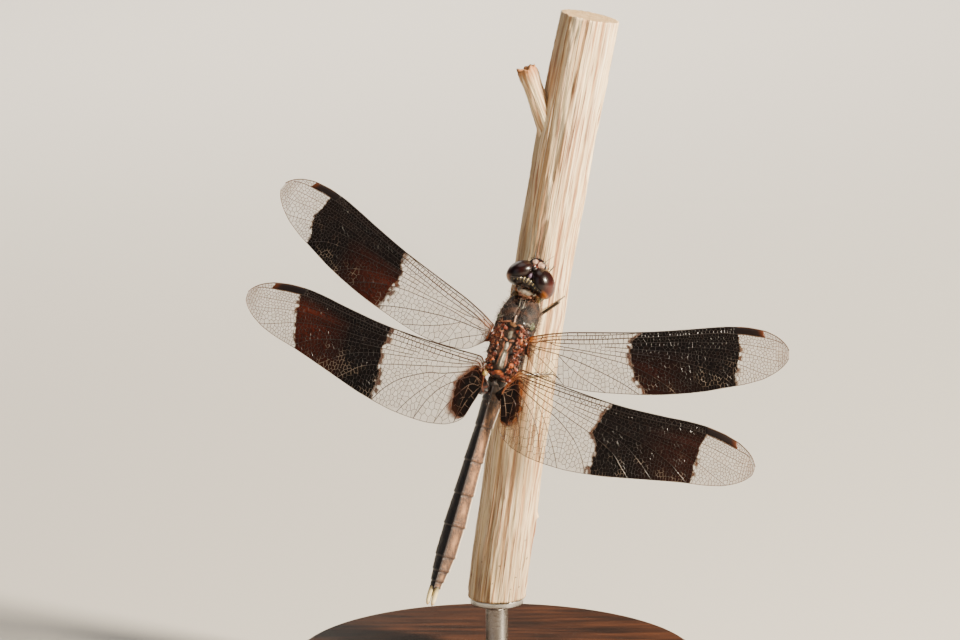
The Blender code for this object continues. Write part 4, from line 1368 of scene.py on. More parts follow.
lumpTones = {
    "charcoal": (22, 13, 10), "black": (8, 6, 7), "rust": (126, 46, 14), "darkRust": (58, 16, 9),
    "orange": (190, 90, 22), "pink": (166, 104, 74), "tan": (164, 114, 70), "pale": (132, 126, 112),
    "cream": (184, 164, 118), "white": (196, 186, 168), "blueBlack": (12, 12, 26), "green": (100, 104, 76),
    "mauve": (112, 92, 116), "yellow": (186, 156, 78), "brown": (46, 27, 20), "ivory": (222, 208, 186),
    "blush": (206, 166, 142), "olive": (124, 106, 46), "peach": (208, 142, 96), "maroon": (40, 10, 9),
}


# colours and gloss from the lumps that each point lies on; a lump's lower part gets painted shade, darker
# towards the crevices between lumps
def paintLumps(points, base, lumps, glossOf, creviceShade=0.0):
    colours = np.tile(np.array(tone(*lumpTones[base])[:3]), (len(points), 1))
    gloss = np.zeros(len(points))
    for place, sizes, turn, tilt, kind in lumps:
        inner = (points - np.array(place)) @ np.array(spin(turn, tilt)) / np.array(sizes)
        distance = np.sqrt((inner ** 2).sum(axis=1))
        weight = np.clip((1.32 - distance) / 0.22, 0, 1)[:, None]
        # painted shade: each lump darker towards its lower side, as in the crevices between the lumps
        depth = 1 - creviceShade * (1 - np.clip((inner[:, 2] + 0.35) / 1.05, 0, 1))[:, None]
        colours = colours * (1 - weight) + np.array(tone(*lumpTones[kind])[:3]) * weight * depth
        gloss = np.maximum(gloss * (1 - weight[:, 0]), weight[:, 0] * glossOf.get(kind, 0.8))
    return np.hstack([colours, np.ones((len(points), 1))]), gloss


def mirrored(table):  # every row as it stands, and on the left too unless it is in the middle
    for x, *rest in table:
        for side in ((1,) if x == 0 else (1, -1)):
            yield side, (side * x, *rest)


def skinFrom(name, mesh, points, painted, seam, finish, slot, *stoodFor):
    mesh.vertices.foreach_set("co", points.ravel())
    mesh.name = name
    mesh.shade_smooth()
    tint, gloss = painted
    return dress(placed(name, mesh), finish, slot, *stoodFor, tint=tint, gloss=gloss, seam=seam)


thoraxPlates = (  # x, y, lift, three half sizes, turn, kind; each is mirrored unless x is 0
    (0, 8.4, -0.12, 0.1, 1.2, 0.14, 0, "black"), (0.21, 8.25, -0.08, 0.075, 1.35, 0.14, -3, "pale"),
    (0.42, 8.5, -0.16, 0.07, 1.0, 0.12, -5, "charcoal"),
    (0, 7.02, 0.05, 0.11, 0.52, 0.16, 0, "blush"), (0, 6.42, -0.08, 0.38, 0.3, 0.16, 0, "tan"),
    (0.85, 6.42, 0.0, 0.66, 0.1, 0.14, -20, "pink"), (0.85, 6.82, -0.18, 0.5, 0.26, 0.16, -24, "black"),
    (1.55, 6.9, -0.1, 0.55, 0.1, 0.12, -28, "pale"), (1.95, 6.75, -0.2, 0.34, 0.4, 0.3, 0, "green"),
    (0, 5.55, -0.42, 0.62, 0.5, 0.3, 0, "blueBlack"), (0.42, 5.15, -0.4, 0.34, 0.6, 0.22, 8, "blueBlack"),
    (0, 5.1, -0.14, 0.28, 0.46, 0.2, 0, "pale"), (0.3, 4.42, -0.12, 0.36, 0.13, 0.18, 28, "pink"),
    (0, 3.8, -0.1, 0.22, 0.42, 0.22, 0, "white"), (0.32, 3.7, -0.14, 0.1, 0.56, 0.2, -12, "pink"),
    (0.6, 4.3, -0.5, 0.26, 1.4, 0.2, 0, "black"), (0, 2.1, -0.08, 0.4, 1.0, 0.28, 0, "pale"),
    (0, 2.1, 0.14, 0.07, 0.85, 0.12, 0, "ivory"), (0.42, 2.3, -0.1, 0.1, 0.8, 0.24, 5, "pink"),
    (0.75, 2.0, -0.5, 0.24, 1.5, 0.2, 0, "black"), (0, 0.66, -0.12, 0.5, 0.24, 0.2, 0, "orange"),
    (0.6, 0.4, -0.15, 0.4, 0.22, 0.2, 12, "rust"),
    (0.8, 5.7, 0.02, 0.26, 0.22, 0.26, 0, "rust"), (1.2, 6.0, 0.0, 0.32, 0.24, 0.26, -15, "rust"),
    (1.62, 5.85, -0.05, 0.3, 0.26, 0.3, 0, "darkRust"), (1.15, 5.4, 0.05, 0.22, 0.26, 0.26, 0, "pink"),
    (1.55, 5.25, 0.05, 0.28, 0.3, 0.3, 10, "rust"), (1.95, 5.3, -0.05, 0.3, 0.24, 0.3, 0, "rust"),
    (1.05, 4.75, 0.0, 0.26, 0.34, 0.28, 0, "rust"), (1.5, 4.6, 0.06, 0.3, 0.26, 0.3, 0, "orange"),
    (1.95, 4.65, 0.0, 0.34, 0.3, 0.3, 0, "orange"), (1.2, 4.1, 0.0, 0.3, 0.34, 0.28, 0, "darkRust"),
    (1.65, 3.95, 0.05, 0.26, 0.4, 0.3, 8, "rust"), (2.05, 3.9, -0.08, 0.24, 0.42, 0.3, 0, "rust"),
    (1.25, 3.35, 0.02, 0.28, 0.32, 0.3, 0, "rust"), (1.65, 3.1, 0.0, 0.26, 0.36, 0.28, 0, "darkRust"),
    (1.15, 2.6, 0.02, 0.24, 0.32, 0.28, 0, "rust"), (1.6, 2.35, 0.05, 0.3, 0.34, 0.3, -10, "rust"),
    (1.95, 2.6, -0.1, 0.24, 0.4, 0.28, 0, "brown"), (1.2, 1.8, 0.02, 0.26, 0.3, 0.28, 0, "orange"),
    (1.65, 1.55, 0.04, 0.3, 0.28, 0.3, 0, "rust"), (1.15, 1.05, 0.04, 0.3, 0.28, 0.28, 0, "rust"),
    (1.6, 0.85, 0.02, 0.3, 0.26, 0.26, 0, "orange"), (1.75, 0.4, -0.05, 0.26, 0.24, 0.24, 0, "yellow"),
    (1.15, 0.35, -0.02, 0.28, 0.2, 0.22, 0, "rust"),
)
thoraxPlan = {
    "voxel": 0.062,
    "smoothing": 2,
    "grow": 0.992,
    "backFrom": -3.2,  # the height where the back's relief starts
    "backFade": 2.0,
    "sink": 0.34,  # how far the wing base lies below the solid's back
    "beads": 130,
    "beadKinds": ("rust", "rust", "orange", "pink", "darkRust", "maroon", "black", "black", "peach"),
    "wingLumps": ((0.02, 0.2, "darkRust"), (0.14, 0.16, "rust")),  # across the root, size, kind
    "roughness": 0.035,
    "wobble": 0.45,
    # how strongly the lumps' lower parts get painted shade
    "creviceShade": 0.72,
    "drift": 0.09,
    "gloss": {"charcoal": 0.2, "pale": 0.35, "green": 0.2, "brown": 0.4},
    "sutures": (1.6, 4.4),  # where the flanks' slanting grooves meet the back
    "collar": (  # x, y, z, three half sizes, kind; each is mirrored unless x is 0
        (0, 10.62, -1.95, 0.95, 0.14, 0.26, "black"), (0, 10.32, -1.36, 0.78, 0.36, 0.34, "ivory"),
        (0.86, 10.42, -1.74, 0.34, 0.33, 0.36, "ivory"), (0.86, 10.42, -1.44, 0.15, 0.14, 0.12, "black"),
        (0.34, 10.62, -1.36, 0.1, 0.1, 0.1, "black"), (0.5, 10.3, -1.3, 0.07, 0.2, 0.1, "black"),
        (0.45, 9.85, -1.55, 0.4, 0.2, 0.26, "pink"), (0, 9.9, -1.5, 0.4, 0.2, 0.26, "tan"),
        (1.3, 10.3, -2.1, 0.28, 0.3, 0.34, "peach"), (1.38, 9.95, -2.5, 0.36, 0.4, 0.44, "olive"),
    ),
}


def within(value, start, length):  # 0 below the start, 1 a length past it
    return min(max((value - start) / length, 0), 1)


def backDip(x, y):  # the dorsal relief of the thorax before its plates go on
    sides = abs(x)
    trough = thoraxPlan["sink"] * within(-y, -6.5, 0.4) * within(y, -0.1, 0.6) * within(-sides, -2.3, 0.5)
    shoulder = 0.2 * exp(-(((sides - 1.2) / 0.7) ** 2 + ((y - 8.1) / 1.2) ** 2))
    groove = 0.16 * exp(-((sides - 0.2) / 0.08) ** 2) * within(y, 6.9, 0.4)
    return shoulder - trough - groove


def thoraxLumps(top):
    lumps = []

    def lump(place, sizes, kind, turn=0.0, tilt=0.0):
        lumps.append((tuple(place), sizes, turn, tilt, kind))

    dice = random.Random(5)
    for side, (x, y, lift, a, b, c, turn, kind) in mirrored(thoraxPlates):
        here = (x + dice.uniform(-0.03, 0.03), y + dice.uniform(-0.04, 0.04))
        loose = 30 if abs(x) > 0.78 and y < 6.2 else 0
        twist, tip = dice.uniform(-loose, loose), dice.uniform(-loose, loose)
        sizes = (a * 1.12, b, c * 0.86) if loose else (a, b, c)
        lump((*here, top(*here) + lift), sizes, kind, side * turn + twist, tip)
    for _ in range(thoraxPlan["beads"]):
        side = dice.choice((-1, 1))
        here = (side * dice.uniform(0.85, 2.15), dice.uniform(0.4, 6.1))
        size = dice.uniform(0.07, 0.15)
        kind = dice.choice(thoraxPlan["beadKinds"])
        place = (*here, top(*here) + dice.uniform(0.12, 0.26))
        sizes = (size, size * dice.uniform(0.8, 1.5), size)
        lump(place, sizes, kind, dice.uniform(-60, 60))
    for name, wing in wings.items():
        if name.startswith("hind"):
            lump((wing.side * 1.42, 0.06, -0.82), (0.36, 0.3, 0.26), "yellow" if wing.side < 0 else "rust")
            continue
        for across, size, kind in thoraxPlan["wingLumps"]:
            place = body.local(wing.rootPoint(across)) + Vector((-wing.side * 0.35, 0, 0.02))
            lump(place, (size * 1.3, size * 0.85, size * 0.8), kind, wing.side * -12)
    for _, (x, y, z, a, b, c, kind) in mirrored(thoraxPlan["collar"]):
        lump((x, y, z), (a, b, c), kind)
    for name in legNames:
        hip = body.local(legPaths[name][-1])
        lump((hip.x * 0.9, hip.y, hip.z + 0.3), (0.52, 0.6, 0.75), "brown")
    lump(body.local(tail.world((0, -0.2, -0.1))), (1.06, 0.95, 1.12), "charcoal")
    return lumps


def buildThorax(finish):
    work = smoothCopy("thorax", body, thoraxPlan["grow"])
    for vert in work.verts:
        vert.co.z += within(vert.co.z, thoraxPlan["backFrom"], thoraxPlan["backFade"]) * backDip(*vert.co.xy)
    bare = BVHTree.FromBMesh(work)

    def top(x, y):
        hit = bare.ray_cast(Vector((x, y, 5)), Vector((0, 0, -1)))[0]
        return hit.z if hit else -1.2

    lumps = thoraxLumps(top)
    join(work, smoothCopy("prothorax", body, 1.0))
    for place, sizes, turn, tilt, _ in lumps:
        addBall(work, place, sizes, turn, tilt, thoraxPlan["wobble"] if abs(place[0]) > 0.7 else 0.0)
    made = remeshed(work, thoraxPlan)
    points, normals = arrays(made)
    moved = np.array([noise.fractal(Vector(point) * 2.6, 0.8, 2.1, 4) for point in points])
    jumble = (np.abs(points[:, 0]) > 0.7) * (points[:, 1] < 6.4) * (points[:, 2] > -1.8)
    moved *= thoraxPlan["roughness"] * (1 + 0.9 * jumble)
    suture = np.zeros(len(points))
    for offset in thoraxPlan["sutures"]:
        line = points[:, 1] + 0.32 * points[:, 2] - offset
        suture += np.exp(-(line / 0.09) ** 2) * (points[:, 2] < -1.6) * (points[:, 2] > -5.4)
    points = points + normals * (moved - 0.06 * suture)[:, None]
    drift = np.array([noise.noise_vector(Vector(point) * 2.2) for point in points]) * thoraxPlan["drift"]
    painted = paintLumps(points + drift, "charcoal", lumps, thoraxPlan["gloss"], thoraxPlan["creviceShade"])
    return skinFrom("thorax_skin", made, body.worldPoints(points), painted, suture, finish,
                    "rust_shell", "thorax", "prothorax")


def shellFinish(name, fineScale):
    made = Finish(name, Coat_Roughness=0.1, Specular_IOR_Level=0.3)
    tint = made.read("tint", "Color")
    grain = made.fleck(5.0, 5.0)
    gloss = made.read("gloss")
    dusty = (1.0 - gloss) * made.fleck(1.3, 4.0).step(0.45, 0.7) * 0.26
    shade = made.blend(grain.step(0.3, 0.62) * 0.55, made.blend(0.62, tint, (12, 8, 8)), tint)
    shade = made.layers(shade, (dusty, (104, 66, 42)), (made.read("seam") * 0.7, (8, 6, 6)))
    made.give("Base Color", shade)
    made.give("Roughness", 0.66 - gloss * 0.26)
    made.give("Coat Weight", gloss * 0.5)
    made.relief(grain, 0.035)
    made.relief(made.fleck(fineScale, 2.0), 0.02)
    return made


# the legs' middle lines

legNames = sorted(name for name in nodes if name.startswith("leg_"))


def middleLine(name):  # the middles of the limb's rings, from its far end to the body
    work = mergedCopy(name)
    hub = middleOf("thorax")
    tip = max(work.verts, key=lambda vert: (vert.co - hub).length)
    flat = [vert for vert in work.verts if (vert.co - tip.co).length < 0.3 * mm]
    seen, layer, middles = set(flat), flat, []
    while layer:
        middles.append(sum((vert.co for vert in layer), Vector()) / len(layer))
        around = dict.fromkeys(edge.other_vert(vert) for vert in layer for edge in vert.link_edges)
        layer = [other for other in around if other not in seen]  # in order, so every run adds up alike
        seen.update(layer)
    work.free()
    return middles


legPaths = {name: middleLine(name) for name in legNames}

thoraxSkin = buildThorax(shellFinish("thorax shell", 16.0))
print("thorax built with", len(thoraxSkin.data.polygons), "faces")

# the head

headPlates = (  # x, y, z, three half sizes, turn, kind; each is mirrored unless x is 0
    (0, 1.42, 0.72, 0.86, 0.62, 0.5, 0, "darkRust"), (0.42, 1.52, 1.0, 0.36, 0.34, 0.26, 10, "blush"),
    (0.86, 1.55, 0.62, 0.2, 0.3, 0.28, 20, "ivory"), (0, 0.72, 1.28, 0.34, 0.3, 0.3, 0, "black"),
    (0.2, 0.98, 1.42, 0.1, 0.1, 0.1, 0, "rust"), (0, 1.05, 1.32, 0.1, 0.1, 0.1, 0, "rust"),
    (0, 1.95, 0.25, 0.92, 0.34, 0.4, 0, "tan"), (0, 2.02, -0.35, 0.78, 0.26, 0.3, 0, "cream"),
    (0, 1.9, -0.95, 0.86, 0.34, 0.42, 0, "tan"), (0.85, 1.45, -0.95, 0.28, 0.5, 0.6, 0, "cream"),
    (0, 1.2, -1.72, 0.86, 0.62, 0.38, 0, "brown"), (0, 1.98, -0.62, 0.86, 0.28, 0.05, 0, "black"),
    (0, -0.32, 1.42, 0.2, 0.3, 0.22, 0, "mauve"), (0, -0.85, 1.12, 0.62, 0.42, 0.3, 0, "black"),
    (0.3, -1.0, 1.05, 0.3, 0.26, 0.22, -20, "pale"), (0.95, -1.15, 0.7, 0.55, 0.35, 0.5, -10, "charcoal"),
    (1.35, -1.2, 0.1, 0.5, 0.35, 0.8, 0, "charcoal"), (0, -1.3, 0.1, 0.6, 0.3, 0.6, 0, "brown"),
)
headPlan = {
    "voxel": 0.05,
    "smoothing": 2,
    "browBeads": 17,
    "comb": 19,
    "roughness": 0.008,
    "gloss": {"charcoal": 0.3, "pale": 0.3},
}


def combLine(share):  # where the little plates behind the eyes stand, -1 left to 1 right
    x = 1.86 * share
    return Vector((x, -0.92 - 0.34 * share ** 2, 1.42 - 0.42 * share ** 2))


def evenly(count):  # count values from -1 to 1
    return [2 * number / (count - 1) - 1 for number in range(count)]


def buildHead(finish):
    work = smoothCopy("head", head, 0.99)
    join(work, smoothCopy("face", head, 0.97))
    lumps = [((x, y, z), (a, b, c), side * turn, 0.0, kind)
             for side, (x, y, z, a, b, c, turn, kind) in mirrored(headPlates)]
    for number, share in enumerate(evenly(headPlan["browBeads"])):
        bulge = cos(share * pi / 2)
        place = (1.02 * sin(share * pi / 2), 1.15 + 0.95 * bulge, 0.72 + 0.3 * bulge)
        lumps.append((place, (0.13, 0.12, 0.13), 0.0, 0.0, "black" if number % 3 else "darkRust"))
    for number, share in enumerate(evenly(headPlan["comb"])):
        kind = "cream" if number % 2 else "black"
        lumps.append((tuple(combLine(share)), (0.075, 0.29, 0.19), -share * 38, 0.0, kind))
    for place, sizes, turn, tilt, _ in lumps:
        addBall(work, place, sizes, turn, tilt)
    made = remeshed(work, headPlan)
    points, normals = arrays(made)
    moved = np.array([noise.fractal(Vector(point) * 4.0, 0.8, 2.1, 4) for point in points])
    points = points + normals * (moved * headPlan["roughness"])[:, None]
    painted = paintLumps(points, "black", lumps, headPlan["gloss"])
    return skinFrom("head_skin", made, head.worldPoints(points), painted, np.zeros(len(points)), finish,
                    "dark_shell", "head", "face")


eyePlan = {
    "fit": 0.995,
    "fineness": 6,
    "reach": (2.96, 1.65, 1.98),  # how far out, forward and up it goes, in the head's millimetres
}


def buildEye(name, finish):  # an egg fitted to the node's points, flat where the two eyes meet
    points = head.localPoints(pointsOf(name))
    side = 1 if points[:, 0].mean() > 0 else -1
    seam = np.abs(points[:, 0]).min()
    x, y, z = points[np.abs(points[:, 0]) > seam + 0.05].T
    terms = np.stack([x * x, y * y, z * z, 2 * x * y, 2 * x * z, 2 * y * z, x, y, z], axis=1)
    fit = np.linalg.lstsq(terms, np.ones(len(x)), rcond=None)[0]
    form = np.array([[fit[0], fit[3], fit[4]], [fit[3], fit[1], fit[5]], [fit[4], fit[5], fit[2]]])
    middle = -np.linalg.solve(form, fit[6:]) / 2
    spreads, turns = np.linalg.eigh(form / (1 + middle @ form @ middle))
    stretch = turns @ np.diag(eyePlan["fit"] / np.sqrt(spreads)) @ turns.T
    work = bmesh.new()
    bmesh.ops.create_icosphere(work, subdivisions=eyePlan["fineness"], radius=1.0)
    mesh = meshFrom(work)
    local = middle + arrays(mesh)[0] @ stretch
    flat = local[:, 0] * side < seam
    local[flat, 0] = side * seam
    mesh.vertices.foreach_set("co", head.worldPoints(local).ravel())
    item = placed(name.replace("eye", "eye_dome"), mesh)
    mesh.shade_smooth()
    out, front, up = (local * (side, 1, 1) / eyePlan["reach"]).T
    dress(item, finish, "eye_shell", name, out=out, front=front, up=up, near=local[:, 0] * side)
    print(name, "fitted, half sizes", (1 / np.sqrt(spreads)).round(2), "middle", middle.round(2))


def eyeFinish():
    made = Finish("eye dome", Roughness=0.3, Coat_Weight=0.3, Coat_Roughness=0.09, Specular_IOR_Level=0.22)
    out, up, front = made.read("out"), made.read("up"), made.read("front")
    cloud = made.fleck(0.9, 4.0)
    rear = (-front).step(0.6, 0.82) * out.step(0.6, 0.9) * up.step(-0.3, 0.1)
    top = made.layers((14, 5, 5), (cloud.step(0.35, 0.7), (30, 8, 6)),
                      (out.step(0.62, 1.0) * 0.6, (66, 17, 7)), ((-up).step(0.3, 0.85), (40, 26, 15)),
                      (rear * 0.85, (158, 88, 24)),
                      ((1.0 - made.read("near").step(0.03, 0.14)) * 0.85, (8, 5, 5)))
    made.give("Base Color", top)
    made.relief(made.cells(11.0), 0.008)
    return made


def tube(points, radii, sides, first=0):  # rings along a line of points, closed at both ends
    made = []
    lean = (points[1] - points[0]).normalized().orthogonal().normalized()
    for number, (place, radius) in enumerate(zip(points, radii)):
        ahead = points[min(number + 1, len(points) - 1)] - points[max(number - 1, 0)]
        ahead.normalize()
        lean = (lean - ahead * lean.dot(ahead)).normalized()
        other = ahead.cross(lean)
        for turn in turns(sides):
            made.append(place + (lean * cos(turn) + other * sin(turn)) * radius)
    return made, closedTube(len(points), sides, first)


feelerPlan = {
    "root": (0.36, 1.35, 1.02),
    "short": 0.14,  # how far it ends inside the solid feeler's far corner
    "rise": 0.16,  # the bend at its middle
    "rings": 28,
    "sides": 10,
}


def buildAntenna(node, finish):  # thin and tapering, bent a little at its middle
    points = head.localPoints(pointsOf(node))
    side = 1 if points[:, 0].mean() > 0 else -1
    root = Vector((side, 1, 1)) * Vector(feelerPlan["root"])
    short = feelerPlan["short"]
    far = (np.abs(points[:, 0]).max() - short, points[:, 1].max() - short, points[:, 2].max() - 0.12)
    tip = Vector((side, 1, 1)) * Vector(far)
    line, radii = [], []
    for t in np.arange(feelerPlan["rings"]) / (feelerPlan["rings"] - 1):
        line.append(head.world(root.lerp(tip, t) + Vector((0, 0, feelerPlan["rise"] * sin(pi * t)))))
        base = 0.055 * exp(-(t / 0.1) ** 4)
        knee = 0.03 * exp(-((t - 0.16) / 0.05) ** 2)
        radii.append((0.035 * (1 - t) ** 0.5 + 0.008 + base + knee) * mm)
    item = pieceFrom(node.replace("antenna", "feeler"), *tube(line, radii, feelerPlan["sides"]))
    complete(item, finish, "dark_shell", node)


darkShell = mottled("black shell", 4.0, 3.0, (20, 15, 15), (48, 36, 32), Roughness=0.34, Coat_Weight=0.25)
headSkin = buildHead(shellFinish("head shell", 22.0))
eyeSurface = eyeFinish()
for side in ("left", "right"):
    buildEye("eye_" + side, eyeSurface)
    buildAntenna("antenna_" + side, darkShell)
print("head built with", len(headSkin.data.polygons), "faces")

# the legs

legPlan = {
    "femur": (0.21, 0.15),
    "tibia": (0.125, 0.095),
    "tarsus": (0.085, 0.055),
    "tarsusParts": (0.0, 0.22, 0.52, 1.0),  # where its three parts start and end
    "steps": 22,
    "sides": 12,
    "claw": (0.045, 0.006),  # thickness at its root and its tip
    "clawSteps": 9,
    "clawSides": 8,
    "thighSpines": (9, 0.42),  # how many and how long
    "shinSpines": (11, 0.62),
    "spineThickness": 0.03,
}


def buildLeg(name, finish, spines):
    toe, _, _, ankle, _, knee, _, hip = legPaths[name][:8]
    hip = hip.lerp(body.world((0, body.local(hip).y, -4.4)), 0.25)
    points, faces, shares = [], [], []
    outward = (knee - (hip + ankle) / 2).normalized()

    def put(line, radii, sides, share):
        made, added = tube(line, radii, sides, len(points))
        points.extend(made)
        faces.extend(added)
        shares.extend([share] * len(made))
        return line

    def part(start, end, widths, bow, share):
        line, radii = [], []
        for step in range(legPlan["steps"]):
            t = step / (legPlan["steps"] - 1)
            line.append(start.lerp(end, t) + outward * bow * sin(pi * t) * mm)
            swell = 1 + 0.16 * exp(-((t - 0.12) / 0.12) ** 2) + 0.18 * exp(-((t - 0.97) / 0.04) ** 2)
            close = min(1.0, (t + 0.012) * 22, (1.012 - t) * 22) ** 0.5
            radii.append((widths[0] + (widths[1] - widths[0]) * t) * swell * close * mm)
        return put(line, radii, legPlan["sides"], share)

    thigh = part(hip, knee, legPlan["femur"], 0.05, 0.0)
    shin = part(knee, ankle, legPlan["tibia"], -0.04, 0.4)
    for one, two in zip(legPlan["tarsusParts"], legPlan["tarsusParts"][1:]):
        part(ankle.lerp(toe, one), ankle.lerp(toe, two), legPlan["tarsus"], 0.0, 0.8)
    away = (toe - ankle).normalized()
    up = body.direction((0, 0, 1))
    across = away.cross(up).normalized()
    steps = np.linspace(0, 1, legPlan["clawSteps"])
    stout, point = legPlan["claw"]
    for side in (-1, 1):  # the claws
        line = [toe + (away * (0.15 * t + 0.1 * t ** 2) + across * side * 0.16 * sqrt(t)
                       - up * 0.16 * t ** 2) * mm for t in steps * 0.9]
        put(line, [(stout * (1 - t) ** 0.7 + point) * mm for t in steps], legPlan["clawSides"], 1.0)
    complete(pieceFrom(name.replace("leg", "limb"), points, faces), finish, "leg_shell", name, share=shares)
    for line, (count, length) in ((thigh, legPlan["thighSpines"]), (shin, legPlan["shinSpines"])):
        for number in range(count):
            t = 0.2 + 0.75 * number / count
            along = (line[-1] - line[0]).normalized()
            inward = (-outward + across * (0.5 if number % 2 else -0.5)).normalized()
            lean = (inward + along * 0.5).normalized()
            spines.append((line[int(t * (len(line) - 1))], lean, length, legPlan["spineThickness"],
                           (0.5 + 0.4 * t, number / 40)))


legSurface = mottled("leg shell", 2.4, 4.0, (42, 34, 28), (88, 74, 58), Roughness=0.4, Coat_Weight=0.2)
legSurface.relief(legSurface.fleck(12.0, 3.0), 0.02)
spines = []
for name in legNames:
    buildLeg(name, legSurface, spines)
print("legs built")

# the soft hinges between the wings and the body

hingePlan = {
    "reach": (0.0, 0.96),  # which part of the wing's root edge it takes, forewings
    "hindReach": (0.03, 0.72),
    "across": 7,
    "along": 30,
    "thickness": 0.05,
    "sag": 0.12,
    "sink": 0.12,  # how deep it goes into the body
}


def buildHinge(wing, surface, finish):
    fore = wing.name.startswith("fore")
    low, high = hingePlan["reach"] if fore else hingePlan["hindReach"]
    upper = []
    for across in np.linspace(low, high, hingePlan["along"]):
        outer = wing.rootPoint(across)
        found, normal, _, _ = surface.find_nearest(outer)
        width = 1.0 if fore else (1 - ((across - low) / (high - low)) ** 3) ** 0.6
        inner = outer.lerp(found - normal * hingePlan["sink"] * mm, max(width, 0.05))
        for t in np.linspace(0, 1, hingePlan["across"]):
            place = outer.lerp(inner, t)
            place -= body.direction((0, 0, hingePlan["sag"])) * sin(pi * t) * mm
            place += body.direction((0, 0, 0.05)) * noise.noise(place / mm * 3.0) * sin(pi * t) * mm
            upper.append(place)
    drop = body.direction((0, 0, hingePlan["thickness"])) * mm
    faces = slab(hingePlan["along"], hingePlan["across"])
    complete(pieceFrom("hinge_" + wing.name, upper + [place - drop for place in upper], faces), finish,
             "wing_membrane")


hingeLeather = Finish("wing hinge", Roughness=0.5, Specular_IOR_Level=0.3)
hingeLeather.give("Base Color", hingeLeather.blend(hingeLeather.fleck(3.0, 4.0).step(0.45, 0.75),
                                                   (12, 8, 8), (80, 34, 14)))
hingeLeather.relief(hingeLeather.fleck(7.0, 3.0), 0.03)
solidBody = bmesh.new()
solidBody.from_mesh(thoraxSkin.data)
solidBody.from_mesh(tailSkin.data)
bodySurface = BVHTree.FromBMesh(solidBody)
solidBody.free()
for wing in wings.values():
    buildHinge(wing, bodySurface, hingeLeather)
print("wing hinges built")

# the coat

coatPlan = {
    "shoulder": 1200,
    "edge": 400,
    "neck": 420,
    "flank": 1500,
    "wingBase": 460,
    "comb": 150,
    "face": 220,
    "waist": 420,
    "patch": 0.0015,  # half of each tuft's patch on the skin's unwrap
}


def hairTree():
    tree = GeoTree("bristles", Sides="Int", Patch="Float", Material="Material")
    sockets = {"Vertices": tree.given("Sides"), "Side Segments": 1, "Radius Top": 0.0, "Radius Bottom": 1.0,
               "Depth": 1.0}
    cone = tree.add("GeometryNodeMeshCone", {"fill_type": "TRIANGLE_FAN"}, sockets)
    sockets = {"Geometry": cone, "Name": "strand", "Value": tree.add("GeometryNodeInputPosition")}
    strand = {"data_type": "FLOAT_VECTOR", "domain": "POINT"}
    cone = tree.add("GeometryNodeStoreNamedAttribute", strand, sockets)
    turn = tree.add("FunctionNodeAlignRotationToVector", {"axis": "Z"}, {"Vector": tree.named("lean")})
    sockets = {"Points": tree.geometry, "Instance": cone, "Rotation": turn, "Scale": tree.named("size")}
    cones = tree.add("GeometryNodeInstanceOnPoints", {}, sockets)
    solid = tree.add("GeometryNodeRealizeInstances", {}, {0: cones})
    offset = tree.add("ShaderNodeVectorMath", {"operation": "SCALE"},
                      {0: tree.named("strand"), "Scale": tree.given("Patch")})
    spot = tree.add("ShaderNodeVectorMath", {"operation": "ADD"}, {0: tree.named("rootUv"), 1: offset})
    sockets = {"Geometry": solid, "Name": "OFBake", "Value": spot}
    onSkin = {"data_type": "FLOAT2", "domain": "CORNER"}
    return tree.finish(tree.add("GeometryNodeStoreNamedAttribute", onSkin, sockets))


bristles = hairTree()


def grow(name, roots, finish, slot, sides=4):  # a root: place, lean, length, thickness, place on the unwrap
    item = pieceFrom(name, [place + lean * length * 0.5 * mm for place, lean, length, _, _ in roots], [])
    mark(item, "lean", [lean[:] for _, lean, _, _, _ in roots])
    mark(item, "size", [(thick * mm, thick * mm, length * mm) for _, _, length, thick, _ in roots])
    mark(item, "rootUv", [(u, v, 0.0) for *_, (u, v) in roots])
    bristles.run(item, Sides=sides, Patch=coatPlan["patch"], Material=finish.material)
    item.data.shade_smooth()
    settle(item, slot)


def rootsOn(skin, count, wanted, shape, dice):  # spread over the faces that are wanted
    item, pose, unwrap = skin
    mesh = item.data
    areas = np.array([face.area for face in mesh.polygons])
    centres, normals = np.empty((2, len(mesh.polygons) * 3))
    mesh.polygons.foreach_get("center", centres)
    mesh.polygons.foreach_get("normal", normals)
    centres, normals = centres.reshape(-1, 3), normals.reshape(-1, 3)
    local = pose.localPoints(centres)
    chance = areas * wanted(*local.T)
    length, thick, lean, spread = shape
    roots = []
    for index in dice.choice(len(areas), count, p=chance / chance.sum()):
        sideways = Vector(dice.normal(0, spread, 3))
        direction = (Vector(normals[index]) + pose.direction(lean) + sideways).normalized()
        place = Vector(centres[index]) - direction * 0.04 * mm
        size = length * float(dice.uniform(0.6, 1.25))
        roots.append((place, direction, size, thick * float(dice.uniform(0.8, 1.2)), unwrap(local[index])))
    return roots


def aroundBody(local):  # the unwrap round the body's long axis
    x, y, z = local
    return 0.5 + 0.48 * atan2(x, z + 3.1) / pi, min(max(0.02 + 0.96 * y / 11.0, 0.0), 1.0)


def aroundHead(local):
    x, y, z = local
    return 0.5 + 0.48 * atan2(x, z) / pi, 0.5 + 0.2 * min(max(y, -2.2), 2.2)


def aroundTail(local):
    x, y, z = local
    return 0.5 + 0.48 * atan2(x, z - 0.2) / pi, min(max(-y / 25.5, 0.0), 1.0)


